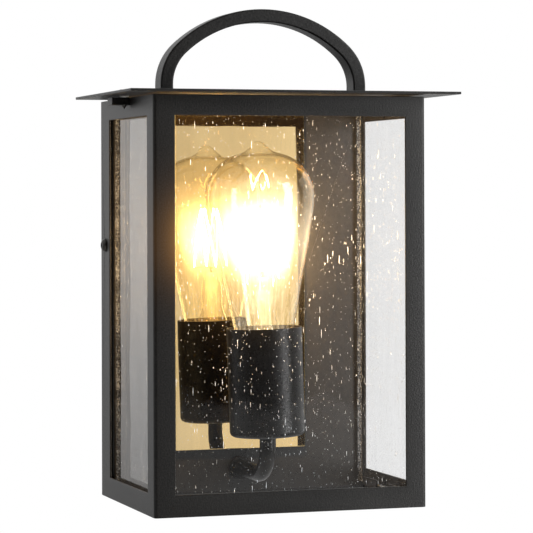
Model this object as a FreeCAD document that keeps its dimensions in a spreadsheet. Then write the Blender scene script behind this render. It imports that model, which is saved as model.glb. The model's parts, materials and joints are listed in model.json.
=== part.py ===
"""Outdoor wall lantern: a folded sheet-metal lantern body on a slotted wall bracket.

Frame, in millimetres: the origin is the centre of the outlet box on the wall, +Z is up, the wall is the
plane Y = 0 and the lantern stands out of it towards -Y. +X is to the right of someone facing the lantern.
"""

import FreeCAD
import Part

import math
import os

import Sketcher
from FreeCAD import Placement, Rotation, Vector

DIMENSIONS = {
    # lantern body, one folded sheet with a left, a front and a right wall
    "cage_width": 162.0,
    "cage_depth": 119.0,
    "cage_height": 236.0,
    "cage_drop": 150.0,
    "wall_gap": 1.0,
    "sheet_thick": 1.2,
    "bend_radius": 2.0,
    "front_post": 12.3,
    "front_head": 11.7,
    "front_sill": 12.5,
    "side_rear_post": 19.6,
    "side_front_post": 14.3,
    "side_head": 11.7,
    "side_sill": 12.4,
    # back pan behind the mirror
    "pan_reach": 19.5,
    "pan_thick": 1.0,
    "pan_half": 79.7,
    "pan_inset": 2.0,
    "pan_bend": 2.0,
    # mirror on its tape
    "mirror_width": 81.6,
    "mirror_tall": 203.0,
    "mirror_rise": 27.0,
    "mirror_thick": 2.0,
    "tape_thick": 0.5,
    "tape_width": 12.0,
    "tape_offset": 30.0,
    # window panes and the tabs that hold them
    "pane_thick": 3.0,
    "pane_gap": 2.2,
    "pane_rise": 5.0,
    "pane_tall": 226.0,
    "front_pane_half": 77.0,
    "side_pane_back": 21.3,
    "side_pane_play": 0.5,
    "tab_width": 24.0,
    "tab_thick": 0.8,
    "tab_foot": 5.5,
    "tab_lip": 4.0,
    "tab_spread": 34.0,
    "side_tab_middle": 67.0,
    "side_tab_spread": 22.0,
    # roof and its lugs
    "roof_width": 195.6,
    "roof_front": 14.2,
    "roof_setback": 4.9,
    "roof_thick": 1.5,
    "roof_gap": 0.9,
    "lug_long": 10.4,
    "lug_deep": 10.7,
    "lug_tall": 4.3,
    "lug_back": 57.6,
    "roof_screw_out": 2.6,
    "roof_screw_back": 65.9,
    "roof_screw_radius": 1.75,
    "roof_screw_hole": 1.83,
    "roof_screw_point": 2.5,
    "roof_head_radius": 3.4,
    "roof_head_tall": 2.2,
    "spacer_radius": 2.55,
    # arched handle
    "handle_half": 62.9,
    "handle_rise": 50.0,
    "handle_crown": 77.2,
    "handle_turn": 32.4,
    "handle_width": 7.6,
    "handle_deep": 13.4,
    "handle_round": 1.0,
    "handle_back": 63.8,
    "handle_screw_radius": 2.0,
    "handle_screw_hole": 2.05,
    "handle_screw_reach": 11.0,
    "handle_head_radius": 3.5,
    "handle_head_tall": 2.0,
    # wall bracket and the side screws
    "bracket_half": 78.2,
    "bracket_tall": 60.0,
    "bracket_reach": 17.0,
    "bracket_thick": 1.5,
    "box_spacing": 88.9,
    "box_slot_length": 14.0,
    "box_slot_radius": 2.4,
    "wire_hole_radius": 19.0,
    "ground_offset": 27.0,
    "ground_drop": 20.0,
    "ground_radius": 2.0,
    "side_screw_back": 10.8,
    "side_screw_radius": 2.0,
    "side_screw_hole": 2.06,
    "side_screw_long": 10.0,
    "side_head_radius": 4.0,
    "side_head_tall": 2.3,
    "side_socket_radius": 1.45,
    "side_socket_deep": 1.3,
    "flange_slot_radius": 2.3,
    "nut_across": 7.0,
    "nut_tall": 3.2,
    "nut_gap": 0.2,
    # socket arm
    "arm_back": 74.4,
    "arm_rise": 15.7,
    "arm_bend": 18.7,
    "arm_radius": 4.75,
    "arm_bore": 3.6,
    "arm_tail": 13.0,
    "arm_stub": 45.0,
    "collar_radius": 6.8,
    "collar_thick": 3.0,
    "locknut_across": 14.0,
    "locknut_thick": 2.5,
    # lamp: heights are from the foot of the cup's washer, along the lamp's own axis
    "lamp_foot": 37.8,
    "lamp_lean": 1.8,
    "washer_radius": 6.15,
    "washer_thick": 1.8,
    "arm_clear": 5.05,
    "cup_radius": 21.95,
    "cup_tall": 63.0,
    "cup_wall": 1.0,
    "cup_corner": 3.0,
    "cup_nut_across": 14.0,
    "cup_nut_tall": 3.0,
    "holder_radius": 17.5,
    "holder_base": 13.0,
    "holder_floor": 27.0,
    "holder_top": 50.0,
    "shell_bore": 13.22,
    "shell_wall": 0.45,
    "wire_radius": 1.1,
    "wire_side": 1.6,
    "contact_radius": 3.0,
    "cap_foot": 32.0,
    "cap_top": 59.0,
    "cap_radius": 13.15,
    "cap_root": 12.55,
    "thread_pitch": 3.6,
    "cap_throat": 8.0,
    "insulator_radius": 7.9,
    "bulb_contact_radius": 4.2,
    # glass of the bulb: throat, straight taper, swell, belly, dome, hollow flank and knob
    "bulb_radius": 32.0,
    "bulb_neck": 14.2,
    "bulb_throat": 17.6,
    "bulb_throat_top": 64.2,
    "bulb_taper_end": 31.06,
    "bulb_taper_top": 131.5,
    "bulb_swell": 48.5,
    "bulb_belly": 141.0,
    "bulb_dome": 25.5,
    "bulb_dome_end": 5.5,
    "bulb_dome_rise": 24.9,
    "bulb_flank": 13.0,
    "bulb_knob": 5.0,
    "bulb_knob_edge": 4.1,
    "bulb_knob_drop": 2.13,
    "bulb_nib": 0.8,
    "bulb_nib_drop": 0.064,
    "bulb_tip": 173.2,
    "bulb_wall": 0.8,
    "stem_radius": 6.6,
    "stem_top": 94.2,
    "hub_top": 136.2,
    "cage_radius_top": 5.0,
    "cage_radius_foot": 10.5,
    "filament_radius": 0.35,
    "terminal_width": 26.0,
    "terminal_deep": 11.0,
    "terminal_tall": 16.0,
    "terminal_rise": 34.0,
    "lead_back": 6.4,
    "lead_bend": 4.5,
}

SIDES = {"left": -1, "right": 1}
FILAMENT_RUNS = 8
THREAD_TURNS = 5
STEM_FLARE = {"spread": 3.0, "rise": 14.0, "press": 6.0, "press_radius": 2.4}
SUPPORT_WIRE = 0.45
SUPPORT_ROD = 1.0
HOOK_INSET = {"top": 2.0, "foot": 3.0}


def make_sheet(doc):
    """Write the driving dimensions into the spreadsheet, one alias per row."""
    sheet = doc.addObject("Spreadsheet::Sheet", "dims")
    for row, (alias, size) in enumerate(DIMENSIONS.items(), start=1):
        sheet.set(f"A{row}", alias)
        sheet.set(f"B{row}", str(size))
        sheet.setAlias(f"B{row}", alias)
    doc.recompute()
    return sheet


def number(doc, text):
    """Work out an expression of the sheet's aliases as a plain number."""
    result = doc.dims.evalExpression(text)
    return float(getattr(result, "Value", result))


def bind(thing, **sizes):
    """Bind properties to expressions; a double underscore in a name stands for a dot."""
    for name, text in sizes.items():
        thing.setExpression(name.replace("__", "."), text)
    return thing


def place(thing, x="0", y="0", z="0"):
    """Bind the position of an object to three expressions."""
    bind(thing, Placement__Base__x=x, Placement__Base__y=y, Placement__Base__z=z)
    return thing


def new_body(doc, label):
    """Start a PartDesign body with its own label."""
    body = doc.addObject("PartDesign::Body", label)
    body.Label = label
    return body


def origin_plane(body, role):
    """Find one of the body's own origin planes."""
    return next(item for item in body.Origin.OriginFeatures if item.Role == role)


def new_sketch(body, role, name, offset=None):
    """Attach an empty sketch to an origin plane; offset is an expression along the plane's normal."""
    sketch = body.newObject("Sketcher::SketchObject", name)
    sketch.AttachmentSupport = [(origin_plane(body, role), "")]
    sketch.MapMode = "FlatFace"
    if offset is not None:
        sketch.setExpression("AttachmentOffset.Base.z", offset)
    return sketch


def pin_point(sketch, edge, end, x, y):
    """Fix one end of an edge at two expressions measured from the sketch's origin."""
    doc = sketch.Document
    for kind, text, axis in (("DistanceX", x, -2), ("DistanceY", y, -1)):
        value = number(doc, text)
        if abs(value) < 1e-9:
            sketch.addConstraint(Sketcher.Constraint("PointOnObject", edge, end, axis))
            continue
        index = sketch.addConstraint(Sketcher.Constraint(kind, -1, 1, edge, end, value))
        sketch.setExpression(f"Constraints[{index}]", text)


def arc_through(start, finish, radius, left):
    """Arc of a given radius between two points; left puts its centre on the left of the chord."""
    chord = finish - start
    middle = (start + finish) * 0.5
    rise = math.sqrt(max(radius ** 2 - (chord.Length / 2) ** 2, 0.0))
    normal = Vector(-chord.y, chord.x, 0).normalize()
    centre = middle + normal * (rise if left else -rise)
    outward = (middle - centre).normalize() if rise > 1e-9 else normal * (-1 if left else 1)
    return Part.Arc(start, centre + outward * radius, finish), centre


def outline(sketch, corners):
    """Close a loop through corners given as expressions.

    Each corner is (x, y) or (x, y, radius, left): the edge that leaves it is then an arc of that radius,
    with its centre on the left of the chord when left is True.
    """
    doc = sketch.Document
    points = [Vector(number(doc, corner[0]), number(doc, corner[1]), 0) for corner in corners]
    first = sketch.GeometryCount
    for index, corner in enumerate(corners):
        start = points[index]
        finish = points[(index + 1) % len(points)]
        if len(corner) == 4:
            arc, _ = arc_through(start, finish, number(doc, corner[2]), corner[3])
            sketch.addGeometry(arc, False)
        else:
            sketch.addGeometry(Part.LineSegment(start, finish), False)
    for index, corner in enumerate(corners):
        edge = first + index
        after = first + (index + 1) % len(corners)
        start, finish = edge_ends(sketch, edge, points[index])
        next_start, _ = edge_ends(sketch, after, points[(index + 1) % len(points)])
        sketch.addConstraint(Sketcher.Constraint("Coincident", edge, finish, after, next_start))
        pin_point(sketch, edge, start, corner[0], corner[1])
        if len(corner) == 4:
            radius = sketch.addConstraint(Sketcher.Constraint("Radius", edge, number(doc, corner[2])))
            sketch.setExpression(f"Constraints[{radius}]", corner[2])


def edge_ends(sketch, edge, start):
    """Tell which end of an edge (1 or 2) lies at its starting corner, and which is the other."""
    at_one = (sketch.getPoint(edge, 1) - start).Length
    at_two = (sketch.getPoint(edge, 2) - start).Length
    return (1, 2) if at_one <= at_two else (2, 1)


def box_outline(sketch, x_low, x_high, y_low, y_high):
    """Add a rectangle given by four expressions."""
    outline(sketch, [(x_low, y_low), (x_high, y_low), (x_high, y_high), (x_low, y_high)])


def ring(sketch, x, y, radius):
    """Add a circle whose centre and radius are expressions."""
    doc = sketch.Document
    centre = Vector(number(doc, x), number(doc, y), 0)
    edge = sketch.addGeometry(Part.Circle(centre, Vector(0, 0, 1), number(doc, radius)), False)
    pin_point(sketch, edge, 3, x, y)
    index = sketch.addConstraint(Sketcher.Constraint("Radius", edge, number(doc, radius)))
    sketch.setExpression(f"Constraints[{index}]", radius)


def pad(body, sketch, length, midplane=False, backwards=False):
    """Pad a sketch by an expression."""
    feature = body.newObject("PartDesign::Pad", f"{sketch.Name}_pad")
    feature.Profile = sketch
    feature.SideType = "Symmetric" if midplane else "One side"
    feature.Reversed = backwards
    feature.setExpression("Length", length)
    body.Document.recompute()
    return feature


def pocket(body, sketch, length, midplane=False, backwards=False):
    """Pocket a sketch by an expression and make sure that it took something away."""
    before = body.Shape.Volume
    feature = body.newObject("PartDesign::Pocket", f"{sketch.Name}_cut")
    feature.Profile = sketch
    feature.SideType = "Symmetric" if midplane else "One side"
    feature.Reversed = backwards
    feature.setExpression("Length", length)
    body.Document.recompute()
    if body.Shape.Volume > before - 1e-6:
        raise RuntimeError(f"{feature.Label} of {body.Label} cuts nothing")
    return feature


def revolve(body, sketch):
    """Turn a sketch drawn in the XZ plane once around its own vertical axis."""
    feature = body.newObject("PartDesign::Revolution", f"{sketch.Name}_turn")
    feature.Profile = sketch
    feature.ReferenceAxis = (sketch, ["V_Axis"])
    feature.Angle = 360
    body.Document.recompute()
    return feature


def turned(doc, label, corners):
    """Make a body of revolution about Z from (radius, height) corners."""
    body = new_body(doc, label)
    sketch = new_sketch(body, "XZ_Plane", f"{label}_outline")
    outline(sketch, corners)
    revolve(body, sketch)
    return body


def group(doc, label, members):
    """Join identical pieces of one node as separate solids."""
    compound = doc.addObject("Part::Compound", label)
    compound.Label = label
    compound.Links = members
    return compound


def plain_box(doc, label, length, width, height, x, y, z):
    """Make a box whose sizes and lowest corner are expressions."""
    block = doc.addObject("Part::Box", label)
    block.Label = label
    bind(block, Length=length, Width=width, Height=height)
    return place(block, x, y, z)


def free_shape(doc, label, shape, placement=None):
    """Hold a shape made with Part's own functions."""
    feature = doc.addObject("Part::Feature", label)
    feature.Label = label
    feature.Shape = shape
    if placement is not None:
        feature.Placement = placement
    return feature


# --- wall bracket -------------------------------------------------------------------------------------


def wall_bracket(doc):
    """Bent strip screwed to the outlet box, with a front-open slot in each side flange."""
    body = new_body(doc, "wall_bracket")
    inner = "dims.bracket_half - dims.bracket_thick"
    strip = new_sketch(body, "XY_Plane", "bracket_strip")
    outline(strip, [
        ("-dims.bracket_half", "0"),
        ("-dims.bracket_half", "-dims.bracket_reach"),
        (f"-({inner})", "-dims.bracket_reach"),
        (f"-({inner})", "-dims.bracket_thick"),
        (inner, "-dims.bracket_thick"),
        (inner, "-dims.bracket_reach"),
        ("dims.bracket_half", "-dims.bracket_reach"),
        ("dims.bracket_half", "0"),
    ])
    pad(body, strip, "dims.bracket_tall", midplane=True)

    holes = new_sketch(body, "XZ_Plane", "bracket_holes")
    ring(holes, "0", "0", "dims.wire_hole_radius")
    ring(holes, "dims.ground_offset", "-dims.ground_drop", "dims.ground_radius")
    reach = "(dims.box_slot_length / 2 - dims.box_slot_radius)"
    tip = "dims.box_slot_length / 2"
    bend = "dims.box_slot_radius"
    for sign in ("-", ""):
        middle = f"{sign}dims.box_spacing / 2"
        outline(holes, [
            (f"{middle} - {reach}", f"-{bend}"),
            (f"{middle} + {reach}", f"-{bend}", bend, True),
            (f"{middle} + {tip}", "0", bend, True),
            (f"{middle} + {reach}", bend),
            (f"{middle} - {reach}", bend, bend, True),
            (f"{middle} - {tip}", "0", bend, True),
        ])
    pocket(body, holes, "dims.bracket_thick * 2.5", midplane=True)

    slots = new_sketch(body, "YZ_Plane", "flange_slots")
    outline(slots, [
        ("-dims.bracket_reach - 1", "-dims.flange_slot_radius"),
        ("-dims.side_screw_back", "-dims.flange_slot_radius", "dims.flange_slot_radius", True),
        ("-dims.side_screw_back + dims.flange_slot_radius", "0", "dims.flange_slot_radius", True),
        ("-dims.side_screw_back", "dims.flange_slot_radius"),
        ("-dims.bracket_reach - 1", "dims.flange_slot_radius"),
    ])
    pocket(body, slots, "dims.bracket_half * 2.2", midplane=True)
    return ["wall_bracket"]


def ground_screw(doc):
    """Green ground screw in the bracket's lower right corner."""
    turned(doc, "ground_screw", [
        ("0", "-dims.bracket_thick"),
        ("dims.ground_radius - 0.02", "-dims.bracket_thick"),
        ("dims.ground_radius - 0.02", "0"),
        ("4.2", "0"),
        ("4.2", "1.2"),
        ("3.2", "2.2"),
        ("0", "2.2"),
    ])
    screw = doc.getObject("ground_screw")
    screw.Placement.Rotation = Rotation(Vector(1, 0, 0), 90)
    place(screw, "dims.ground_offset", "-dims.bracket_thick", "-dims.ground_drop")
    cup = new_sketch(screw, "XY_Plane", "ground_recess", "2.2")
    box_outline(cup, "-2", "2", "-0.4", "0.4")
    pocket(screw, cup, "0.9")
    return ["ground_screw"]


# --- lantern body -------------------------------------------------------------------------------------


def cage(doc):
    """One sheet folded round the left, the front and the right, with a window in each wall."""
    body = new_body(doc, "cage")
    half = "dims.cage_width / 2"
    back = "-dims.wall_gap"
    front = "-dims.wall_gap - dims.cage_depth"
    inner_half = "dims.cage_width / 2 - dims.sheet_thick"
    inner_front = "-dims.wall_gap - dims.cage_depth + dims.sheet_thick"
    bend = "dims.bend_radius"
    tight = "dims.bend_radius - dims.sheet_thick"
    wrap = new_sketch(body, "XY_Plane", "cage_wrap", "-dims.cage_drop")
    outline(wrap, [
        (f"-{half}", back),
        (f"-{half}", f"{front} + {bend}", bend, True),
        (f"-{half} + {bend}", front),
        (f"{half} - {bend}", front, bend, True),
        (half, f"{front} + {bend}"),
        (half, back),
        (inner_half, back),
        (inner_half, f"{inner_front} + {tight}", tight, False),
        (f"{inner_half} - ({tight})", inner_front),
        (f"-({inner_half}) + {tight}", inner_front, tight, False),
        (f"-({inner_half})", f"{inner_front} + {tight}"),
        (f"-({inner_half})", back),
    ])
    pad(body, wrap, "dims.cage_height")

    window = new_sketch(body, "XZ_Plane", "front_window", "dims.wall_gap + dims.cage_depth / 2")
    box_outline(
        window,
        f"-{half} + dims.front_post",
        f"{half} - dims.front_post",
        "-dims.cage_drop + dims.front_sill",
        "-dims.cage_drop + dims.cage_height - dims.front_head",
    )
    pocket(body, window, "dims.cage_depth", backwards=True)

    sides = new_sketch(body, "YZ_Plane", "side_windows")
    box_outline(
        sides,
        f"{front} + dims.side_front_post",
        f"{back} - dims.side_rear_post",
        "-dims.cage_drop + dims.side_sill",
        "-dims.cage_drop + dims.cage_height - dims.side_head",
    )
    pocket(body, sides, "dims.cage_width * 1.2", midplane=True)

    holes = new_sketch(body, "YZ_Plane", "side_screw_holes")
    ring(holes, "-dims.side_screw_back", "0", "dims.side_screw_hole")
    pocket(body, holes, "dims.cage_width * 1.2", midplane=True)
    return ["cage"]


def round_face(body, feature, level, radius):
    """Round the straight edges of a body that lie in one plane of constant Y."""
    edges = [
        f"Edge{index}"
        for index, edge in enumerate(feature.Shape.Edges, start=1)
        if all(abs(vertex.Y - level) < 1e-6 for vertex in edge.Vertexes)
    ]
    rounding = body.newObject("PartDesign::Fillet", f"{feature.Name}_bend")
    rounding.Base = (feature, edges)
    rounding.setExpression("Radius", radius)
    body.Document.recompute()
    return rounding


def back_pan(doc):
    """Shallow tray open to the wall that closes the back of the cage and hides the wiring."""
    body = new_body(doc, "back_pan")
    low = "-dims.cage_drop"
    high = "-dims.cage_drop + dims.cage_height - dims.pan_inset"
    face = new_sketch(body, "XZ_Plane", "pan_face", "dims.wall_gap")
    box_outline(face, "-dims.pan_half", "dims.pan_half", low, high)
    tray = pad(body, face, "dims.pan_reach - dims.wall_gap")
    round_face(body, tray, -number(doc, "dims.pan_reach"), "dims.pan_bend")

    hollow = new_sketch(body, "XZ_Plane", "pan_hollow", "dims.wall_gap")
    box_outline(
        hollow,
        "-dims.pan_half + dims.pan_thick",
        "dims.pan_half - dims.pan_thick",
        f"{low} + dims.pan_thick",
        f"{high} - dims.pan_thick",
    )
    inside = pocket(body, hollow, "dims.pan_reach - dims.wall_gap - dims.pan_thick", backwards=True)
    round_face(body, inside, -number(doc, "dims.pan_reach - dims.pan_thick"), "dims.pan_bend - dims.pan_thick")

    hole = new_sketch(body, "XZ_Plane", "pan_arm_hole", "dims.wall_gap")
    ring(hole, "0", "dims.arm_rise - dims.cage_drop", "dims.arm_clear")
    pocket(body, hole, "dims.pan_reach", backwards=True)

    sides = new_sketch(body, "YZ_Plane", "pan_screw_holes")
    ring(sides, "-dims.side_screw_back", "0", "dims.side_screw_hole")
    pocket(body, sides, "dims.cage_width * 1.2", midplane=True)
    return ["back_pan"]


def mirror(doc):
    """Tinted mirror plate held on the pan by two strips of tape."""
    foot = "dims.mirror_rise - dims.cage_drop"
    strips = []
    for side, sign in SIDES.items():
        strips.append(plain_box(
            doc, f"mirror_tape_{side}",
            "dims.tape_width", "dims.tape_thick", "dims.mirror_tall - 8",
            f"{sign} * dims.tape_offset - dims.tape_width / 2",
            "-dims.pan_reach - dims.tape_thick",
            f"{foot} + 4",
        ))
    group(doc, "mirror_tape", strips)
    plain_box(
        doc, "mirror_panel",
        "dims.mirror_width", "dims.mirror_thick", "dims.mirror_tall",
        "-dims.mirror_width / 2",
        "-dims.pan_reach - dims.tape_thick - dims.mirror_thick",
        foot,
    )
    return ["mirror_tape", "mirror_panel"]


def panes(doc):
    """Three panes of seeded glass standing just inside the windows."""
    foot = "dims.pane_rise - dims.cage_drop"
    outer = "dims.cage_width / 2 - dims.sheet_thick - dims.pane_gap"
    front = "-dims.wall_gap - dims.cage_depth + dims.sheet_thick + dims.pane_gap"
    plain_box(
        doc, "front_glass",
        "dims.front_pane_half * 2", "dims.pane_thick", "dims.pane_tall",
        "-dims.front_pane_half", front, foot,
    )
    start = f"{front} + dims.pane_thick + dims.side_pane_play"
    for side, sign in SIDES.items():
        low = f"-({outer})" if sign < 0 else f"{outer} - dims.pane_thick"
        plain_box(
            doc, f"{side}_glass",
            "dims.pane_thick", f"-dims.side_pane_back - ({start})", "dims.pane_tall",
            low, start, foot,
        )
    return ["front_glass", "left_glass", "right_glass"]


def tab_profile(doc, label):
    """One spot-welded tab: a foot on the wall, a shelf under the pane and a lip on its inner face."""
    body = new_body(doc, label)
    sketch = new_sketch(body, "YZ_Plane", f"{label}_bend")
    depth = "dims.pane_gap + dims.pane_thick + dims.tab_thick + 0.1"
    outline(sketch, [
        ("0", "-dims.tab_thick"),
        (depth, "-dims.tab_thick"),
        (depth, "dims.tab_lip"),
        (f"{depth} - dims.tab_thick", "dims.tab_lip"),
        (f"{depth} - dims.tab_thick", "0"),
        ("dims.tab_thick", "0"),
        ("dims.tab_thick", "dims.tab_foot"),
        ("0", "dims.tab_foot"),
    ])
    pad(body, sketch, "dims.tab_width", midplane=True)
    return body


def pane_tabs(doc):
    """Two tabs below and two above each pane, grouped by pane."""
    low = "dims.pane_rise - dims.cage_drop - 0.05"
    high = "dims.pane_rise - dims.cage_drop + dims.pane_tall + 0.05"
    inner_front = "-dims.wall_gap - dims.cage_depth + dims.sheet_thick"
    inner_half = "dims.cage_width / 2 - dims.sheet_thick"
    side_run = ("dims.side_tab_spread", "-dims.side_tab_middle")
    walls = {
        "front": (0, lambda shift: (shift, inner_front), ("dims.tab_spread", "0")),
        "left": (-90, lambda shift: (f"-({inner_half})", shift), side_run),
        "right": (90, lambda shift: (inner_half, shift), side_run),
    }
    for wall, (turn, spot, (spread, middle)) in walls.items():
        members = []
        for level, height in (("low", low), ("high", high)):
            for index, sign in enumerate((-1, 1), start=1):
                tab = tab_profile(doc, f"{wall}_tab_{level}_{index}")
                upright = Rotation(Vector(0, 0, 1), turn)
                tip_over = Rotation(Vector(0, 1, 0), 180 if level == "high" else 0)
                tab.Placement = Placement(Vector(0, 0, 0), upright.multiply(tip_over))
                x, y = spot(f"{middle} + {sign} * {spread}")
                place(tab, x, y, height)
                members.append(tab)
        group(doc, f"{wall}_glass_tabs", members)
    return ["front_glass_tabs", "left_glass_tabs", "right_glass_tabs"]


def lugs(doc):
    """Solid lug welded to each side wall, drilled for the roof screw, with a nylon spacer on top."""
    names = []
    top = "dims.cage_height - dims.cage_drop"
    for side, sign in SIDES.items():
        body = new_body(doc, f"lug_{side}")
        block = new_sketch(body, "XY_Plane", f"lug_{side}_block", f"{top} - dims.lug_tall")
        wall = f"{sign} * dims.cage_width / 2"
        tip = f"{sign} * (dims.cage_width / 2 + dims.lug_long)"
        box_outline(
            block,
            tip if sign < 0 else wall,
            wall if sign < 0 else tip,
            "-dims.lug_back - dims.lug_deep",
            "-dims.lug_back",
        )
        pad(body, block, "dims.lug_tall")
        bore = new_sketch(body, "XY_Plane", f"lug_{side}_bore", top)
        ring(
            bore,
            f"{sign} * (dims.cage_width / 2 + dims.roof_screw_out)",
            "-dims.roof_screw_back",
            "dims.roof_screw_hole",
        )
        pocket(body, bore, "dims.lug_tall * 1.5")
        names.append(f"lug_{side}")

    rings = []
    for side, sign in SIDES.items():
        spacer = turned(doc, f"spacer_{side}", [
            ("dims.roof_screw_hole", "0"),
            ("dims.spacer_radius", "0"),
            ("dims.spacer_radius", "dims.roof_gap"),
            ("dims.roof_screw_hole", "dims.roof_gap"),
        ])
        place(
            spacer,
            f"{sign} * (dims.cage_width / 2 + dims.roof_screw_out)",
            "-dims.roof_screw_back",
            top,
        )
        rings.append(spacer)
    group(doc, "roof_spacers", rings)
    return names + ["roof_spacers"]


# --- roof and handle ----------------------------------------------------------------------------------


ROOF_UNDERSIDE = "dims.cage_height - dims.cage_drop + dims.roof_gap"
ROOF_TOP = "dims.cage_height - dims.cage_drop + dims.roof_gap + dims.roof_thick"


def roof_plate(doc):
    """Flat roof plate, wider than the cage on three sides, with four screw holes."""
    body = new_body(doc, "roof_plate")
    plate = new_sketch(body, "XY_Plane", "roof_outline", ROOF_UNDERSIDE)
    box_outline(
        plate,
        "-dims.roof_width / 2",
        "dims.roof_width / 2",
        "-dims.wall_gap - dims.cage_depth - dims.roof_front",
        "-dims.wall_gap - dims.roof_setback",
    )
    pad(body, plate, "dims.roof_thick")
    holes = new_sketch(body, "XY_Plane", "roof_holes", ROOF_TOP)
    for sign in SIDES.values():
        ring(
            holes,
            f"{sign} * (dims.cage_width / 2 + dims.roof_screw_out)",
            "-dims.roof_screw_back",
            "dims.roof_screw_hole",
        )
        ring(
            holes,
            f"{sign} * (dims.handle_half - dims.handle_width / 2)",
            "-dims.handle_back",
            "dims.handle_screw_hole",
        )
    pocket(body, holes, "dims.roof_thick * 2")
    return ["roof_plate"]


def handle_joint(doc, inset):
    """Where a side arc of the handle meets its crown arc, for an outline moved in by inset.

    The crown's centre lies on the middle line and each side arc is tangent to the crown and to its leg.
    Returns the joint's x, its height above the roof and the height where the leg ends.
    """
    half = number(doc, "dims.handle_half")
    rise = number(doc, "dims.handle_rise")
    crown = number(doc, "dims.handle_crown")
    turn = number(doc, "dims.handle_turn")
    across = half - turn
    up = math.sqrt((crown - turn) ** 2 - across ** 2)
    spring = rise - crown + up
    angle = math.atan2(up, across)
    reach = turn - inset
    return across + reach * math.cos(angle), spring + reach * math.sin(angle), spring


def handle_loop(doc):
    """Flat bar bent to a three-centred arch, standing on the roof on two straight legs."""
    body = new_body(doc, "handle_loop")
    width = number(doc, "dims.handle_width")
    outer_x, outer_z, spring = handle_joint(doc, 0.0)
    inner_x, inner_z, _ = handle_joint(doc, width)
    inner_half = "dims.handle_half - dims.handle_width"
    inner_turn = "dims.handle_turn - dims.handle_width"
    inner_crown = "dims.handle_crown - dims.handle_width"
    foot = ROOF_TOP
    sketch = new_sketch(body, "XZ_Plane", "handle_outline", "dims.handle_back - dims.handle_deep / 2")
    outline(sketch, [
        ("dims.handle_half", foot),
        ("dims.handle_half", f"{foot} + {spring}", "dims.handle_turn", True),
        (f"{outer_x}", f"{foot} + {outer_z}", "dims.handle_crown", True),
        (f"-{outer_x}", f"{foot} + {outer_z}", "dims.handle_turn", True),
        ("-dims.handle_half", f"{foot} + {spring}"),
        ("-dims.handle_half", foot),
        (f"-({inner_half})", foot),
        (f"-({inner_half})", f"{foot} + {spring}", inner_turn, False),
        (f"-{inner_x}", f"{foot} + {inner_z}", inner_crown, False),
        (f"{inner_x}", f"{foot} + {inner_z}", inner_turn, False),
        (inner_half, f"{foot} + {spring}"),
        (inner_half, foot),
    ])
    bar = pad(body, sketch, "dims.handle_deep")
    long_edges = [
        f"Edge{index}"
        for index, edge in enumerate(bar.Shape.Edges, start=1)
        if abs(edge.Vertexes[0].Y - edge.Vertexes[-1].Y) < 1e-6
        and max(vertex.Z for vertex in edge.Vertexes) > number(doc, foot) + 1e-3
    ]
    rounding = body.newObject("PartDesign::Fillet", "handle_rounding")
    rounding.Base = (bar, long_edges)
    rounding.setExpression("Radius", "dims.handle_round")
    doc.recompute()
    holes = new_sketch(body, "XY_Plane", "handle_taps", foot)
    for sign in SIDES.values():
        ring(
            holes,
            f"{sign} * (dims.handle_half - dims.handle_width / 2)",
            "-dims.handle_back",
            "dims.handle_screw_hole",
        )
    pocket(body, holes, "dims.handle_screw_reach + 1", backwards=True)
    return ["handle_loop"]


def handle_screws(doc):
    """Two pan-head screws from below the roof into the ends of the handle."""
    screws = []
    for side, sign in SIDES.items():
        screw = turned(doc, f"handle_screw_{side}", [
            ("0", "-dims.handle_head_tall"),
            ("dims.handle_head_radius - 1", "-dims.handle_head_tall"),
            ("dims.handle_head_radius", "-dims.handle_head_tall + 0.9"),
            ("dims.handle_head_radius", "0"),
            ("dims.handle_screw_radius", "0"),
            ("dims.handle_screw_radius", "dims.handle_screw_reach"),
            ("0", "dims.handle_screw_reach"),
        ])
        place(
            screw,
            f"{sign} * (dims.handle_half - dims.handle_width / 2)",
            "-dims.handle_back",
            ROOF_UNDERSIDE,
        )
        screws.append(screw)
    group(doc, "handle_screws", screws)
    return ["handle_screws"]


def roof_screws(doc):
    """Pointed screws that hold the roof down on the lugs."""
    names = []
    shank_end = "-dims.roof_thick - dims.roof_gap - dims.lug_tall"
    for side, sign in SIDES.items():
        label = f"roof_screw_{side}"
        screw = turned(doc, label, [
            ("0", f"{shank_end} - dims.roof_screw_point"),
            ("dims.roof_screw_radius", shank_end),
            ("dims.roof_screw_radius", "0"),
            ("dims.roof_head_radius", "0"),
            ("dims.roof_head_radius", "dims.roof_head_tall - 1.2"),
            ("dims.roof_head_radius - 1", "dims.roof_head_tall"),
            ("0", "dims.roof_head_tall"),
        ])
        recess = new_sketch(screw, "XY_Plane", f"{label}_recess", "dims.roof_head_tall")
        outline(recess, cross_outline("1.8", "0.45"))
        pocket(screw, recess, "1.1")
        place(
            screw,
            f"{sign} * (dims.cage_width / 2 + dims.roof_screw_out)",
            "-dims.roof_screw_back",
            ROOF_TOP,
        )
        names.append(label)
    return names


def cross_outline(reach, half):
    """Twelve corners of a cross recess."""
    return [
        (reach, f"-{half}"), (reach, half), (half, half), (half, reach), (f"-{half}", reach),
        (f"-{half}", half), (f"-{reach}", half), (f"-{reach}", f"-{half}"), (f"-{half}", f"-{half}"),
        (f"-{half}", f"-{reach}"), (half, f"-{reach}"), (half, f"-{half}"),
    ]


# --- side screws --------------------------------------------------------------------------------------


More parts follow.
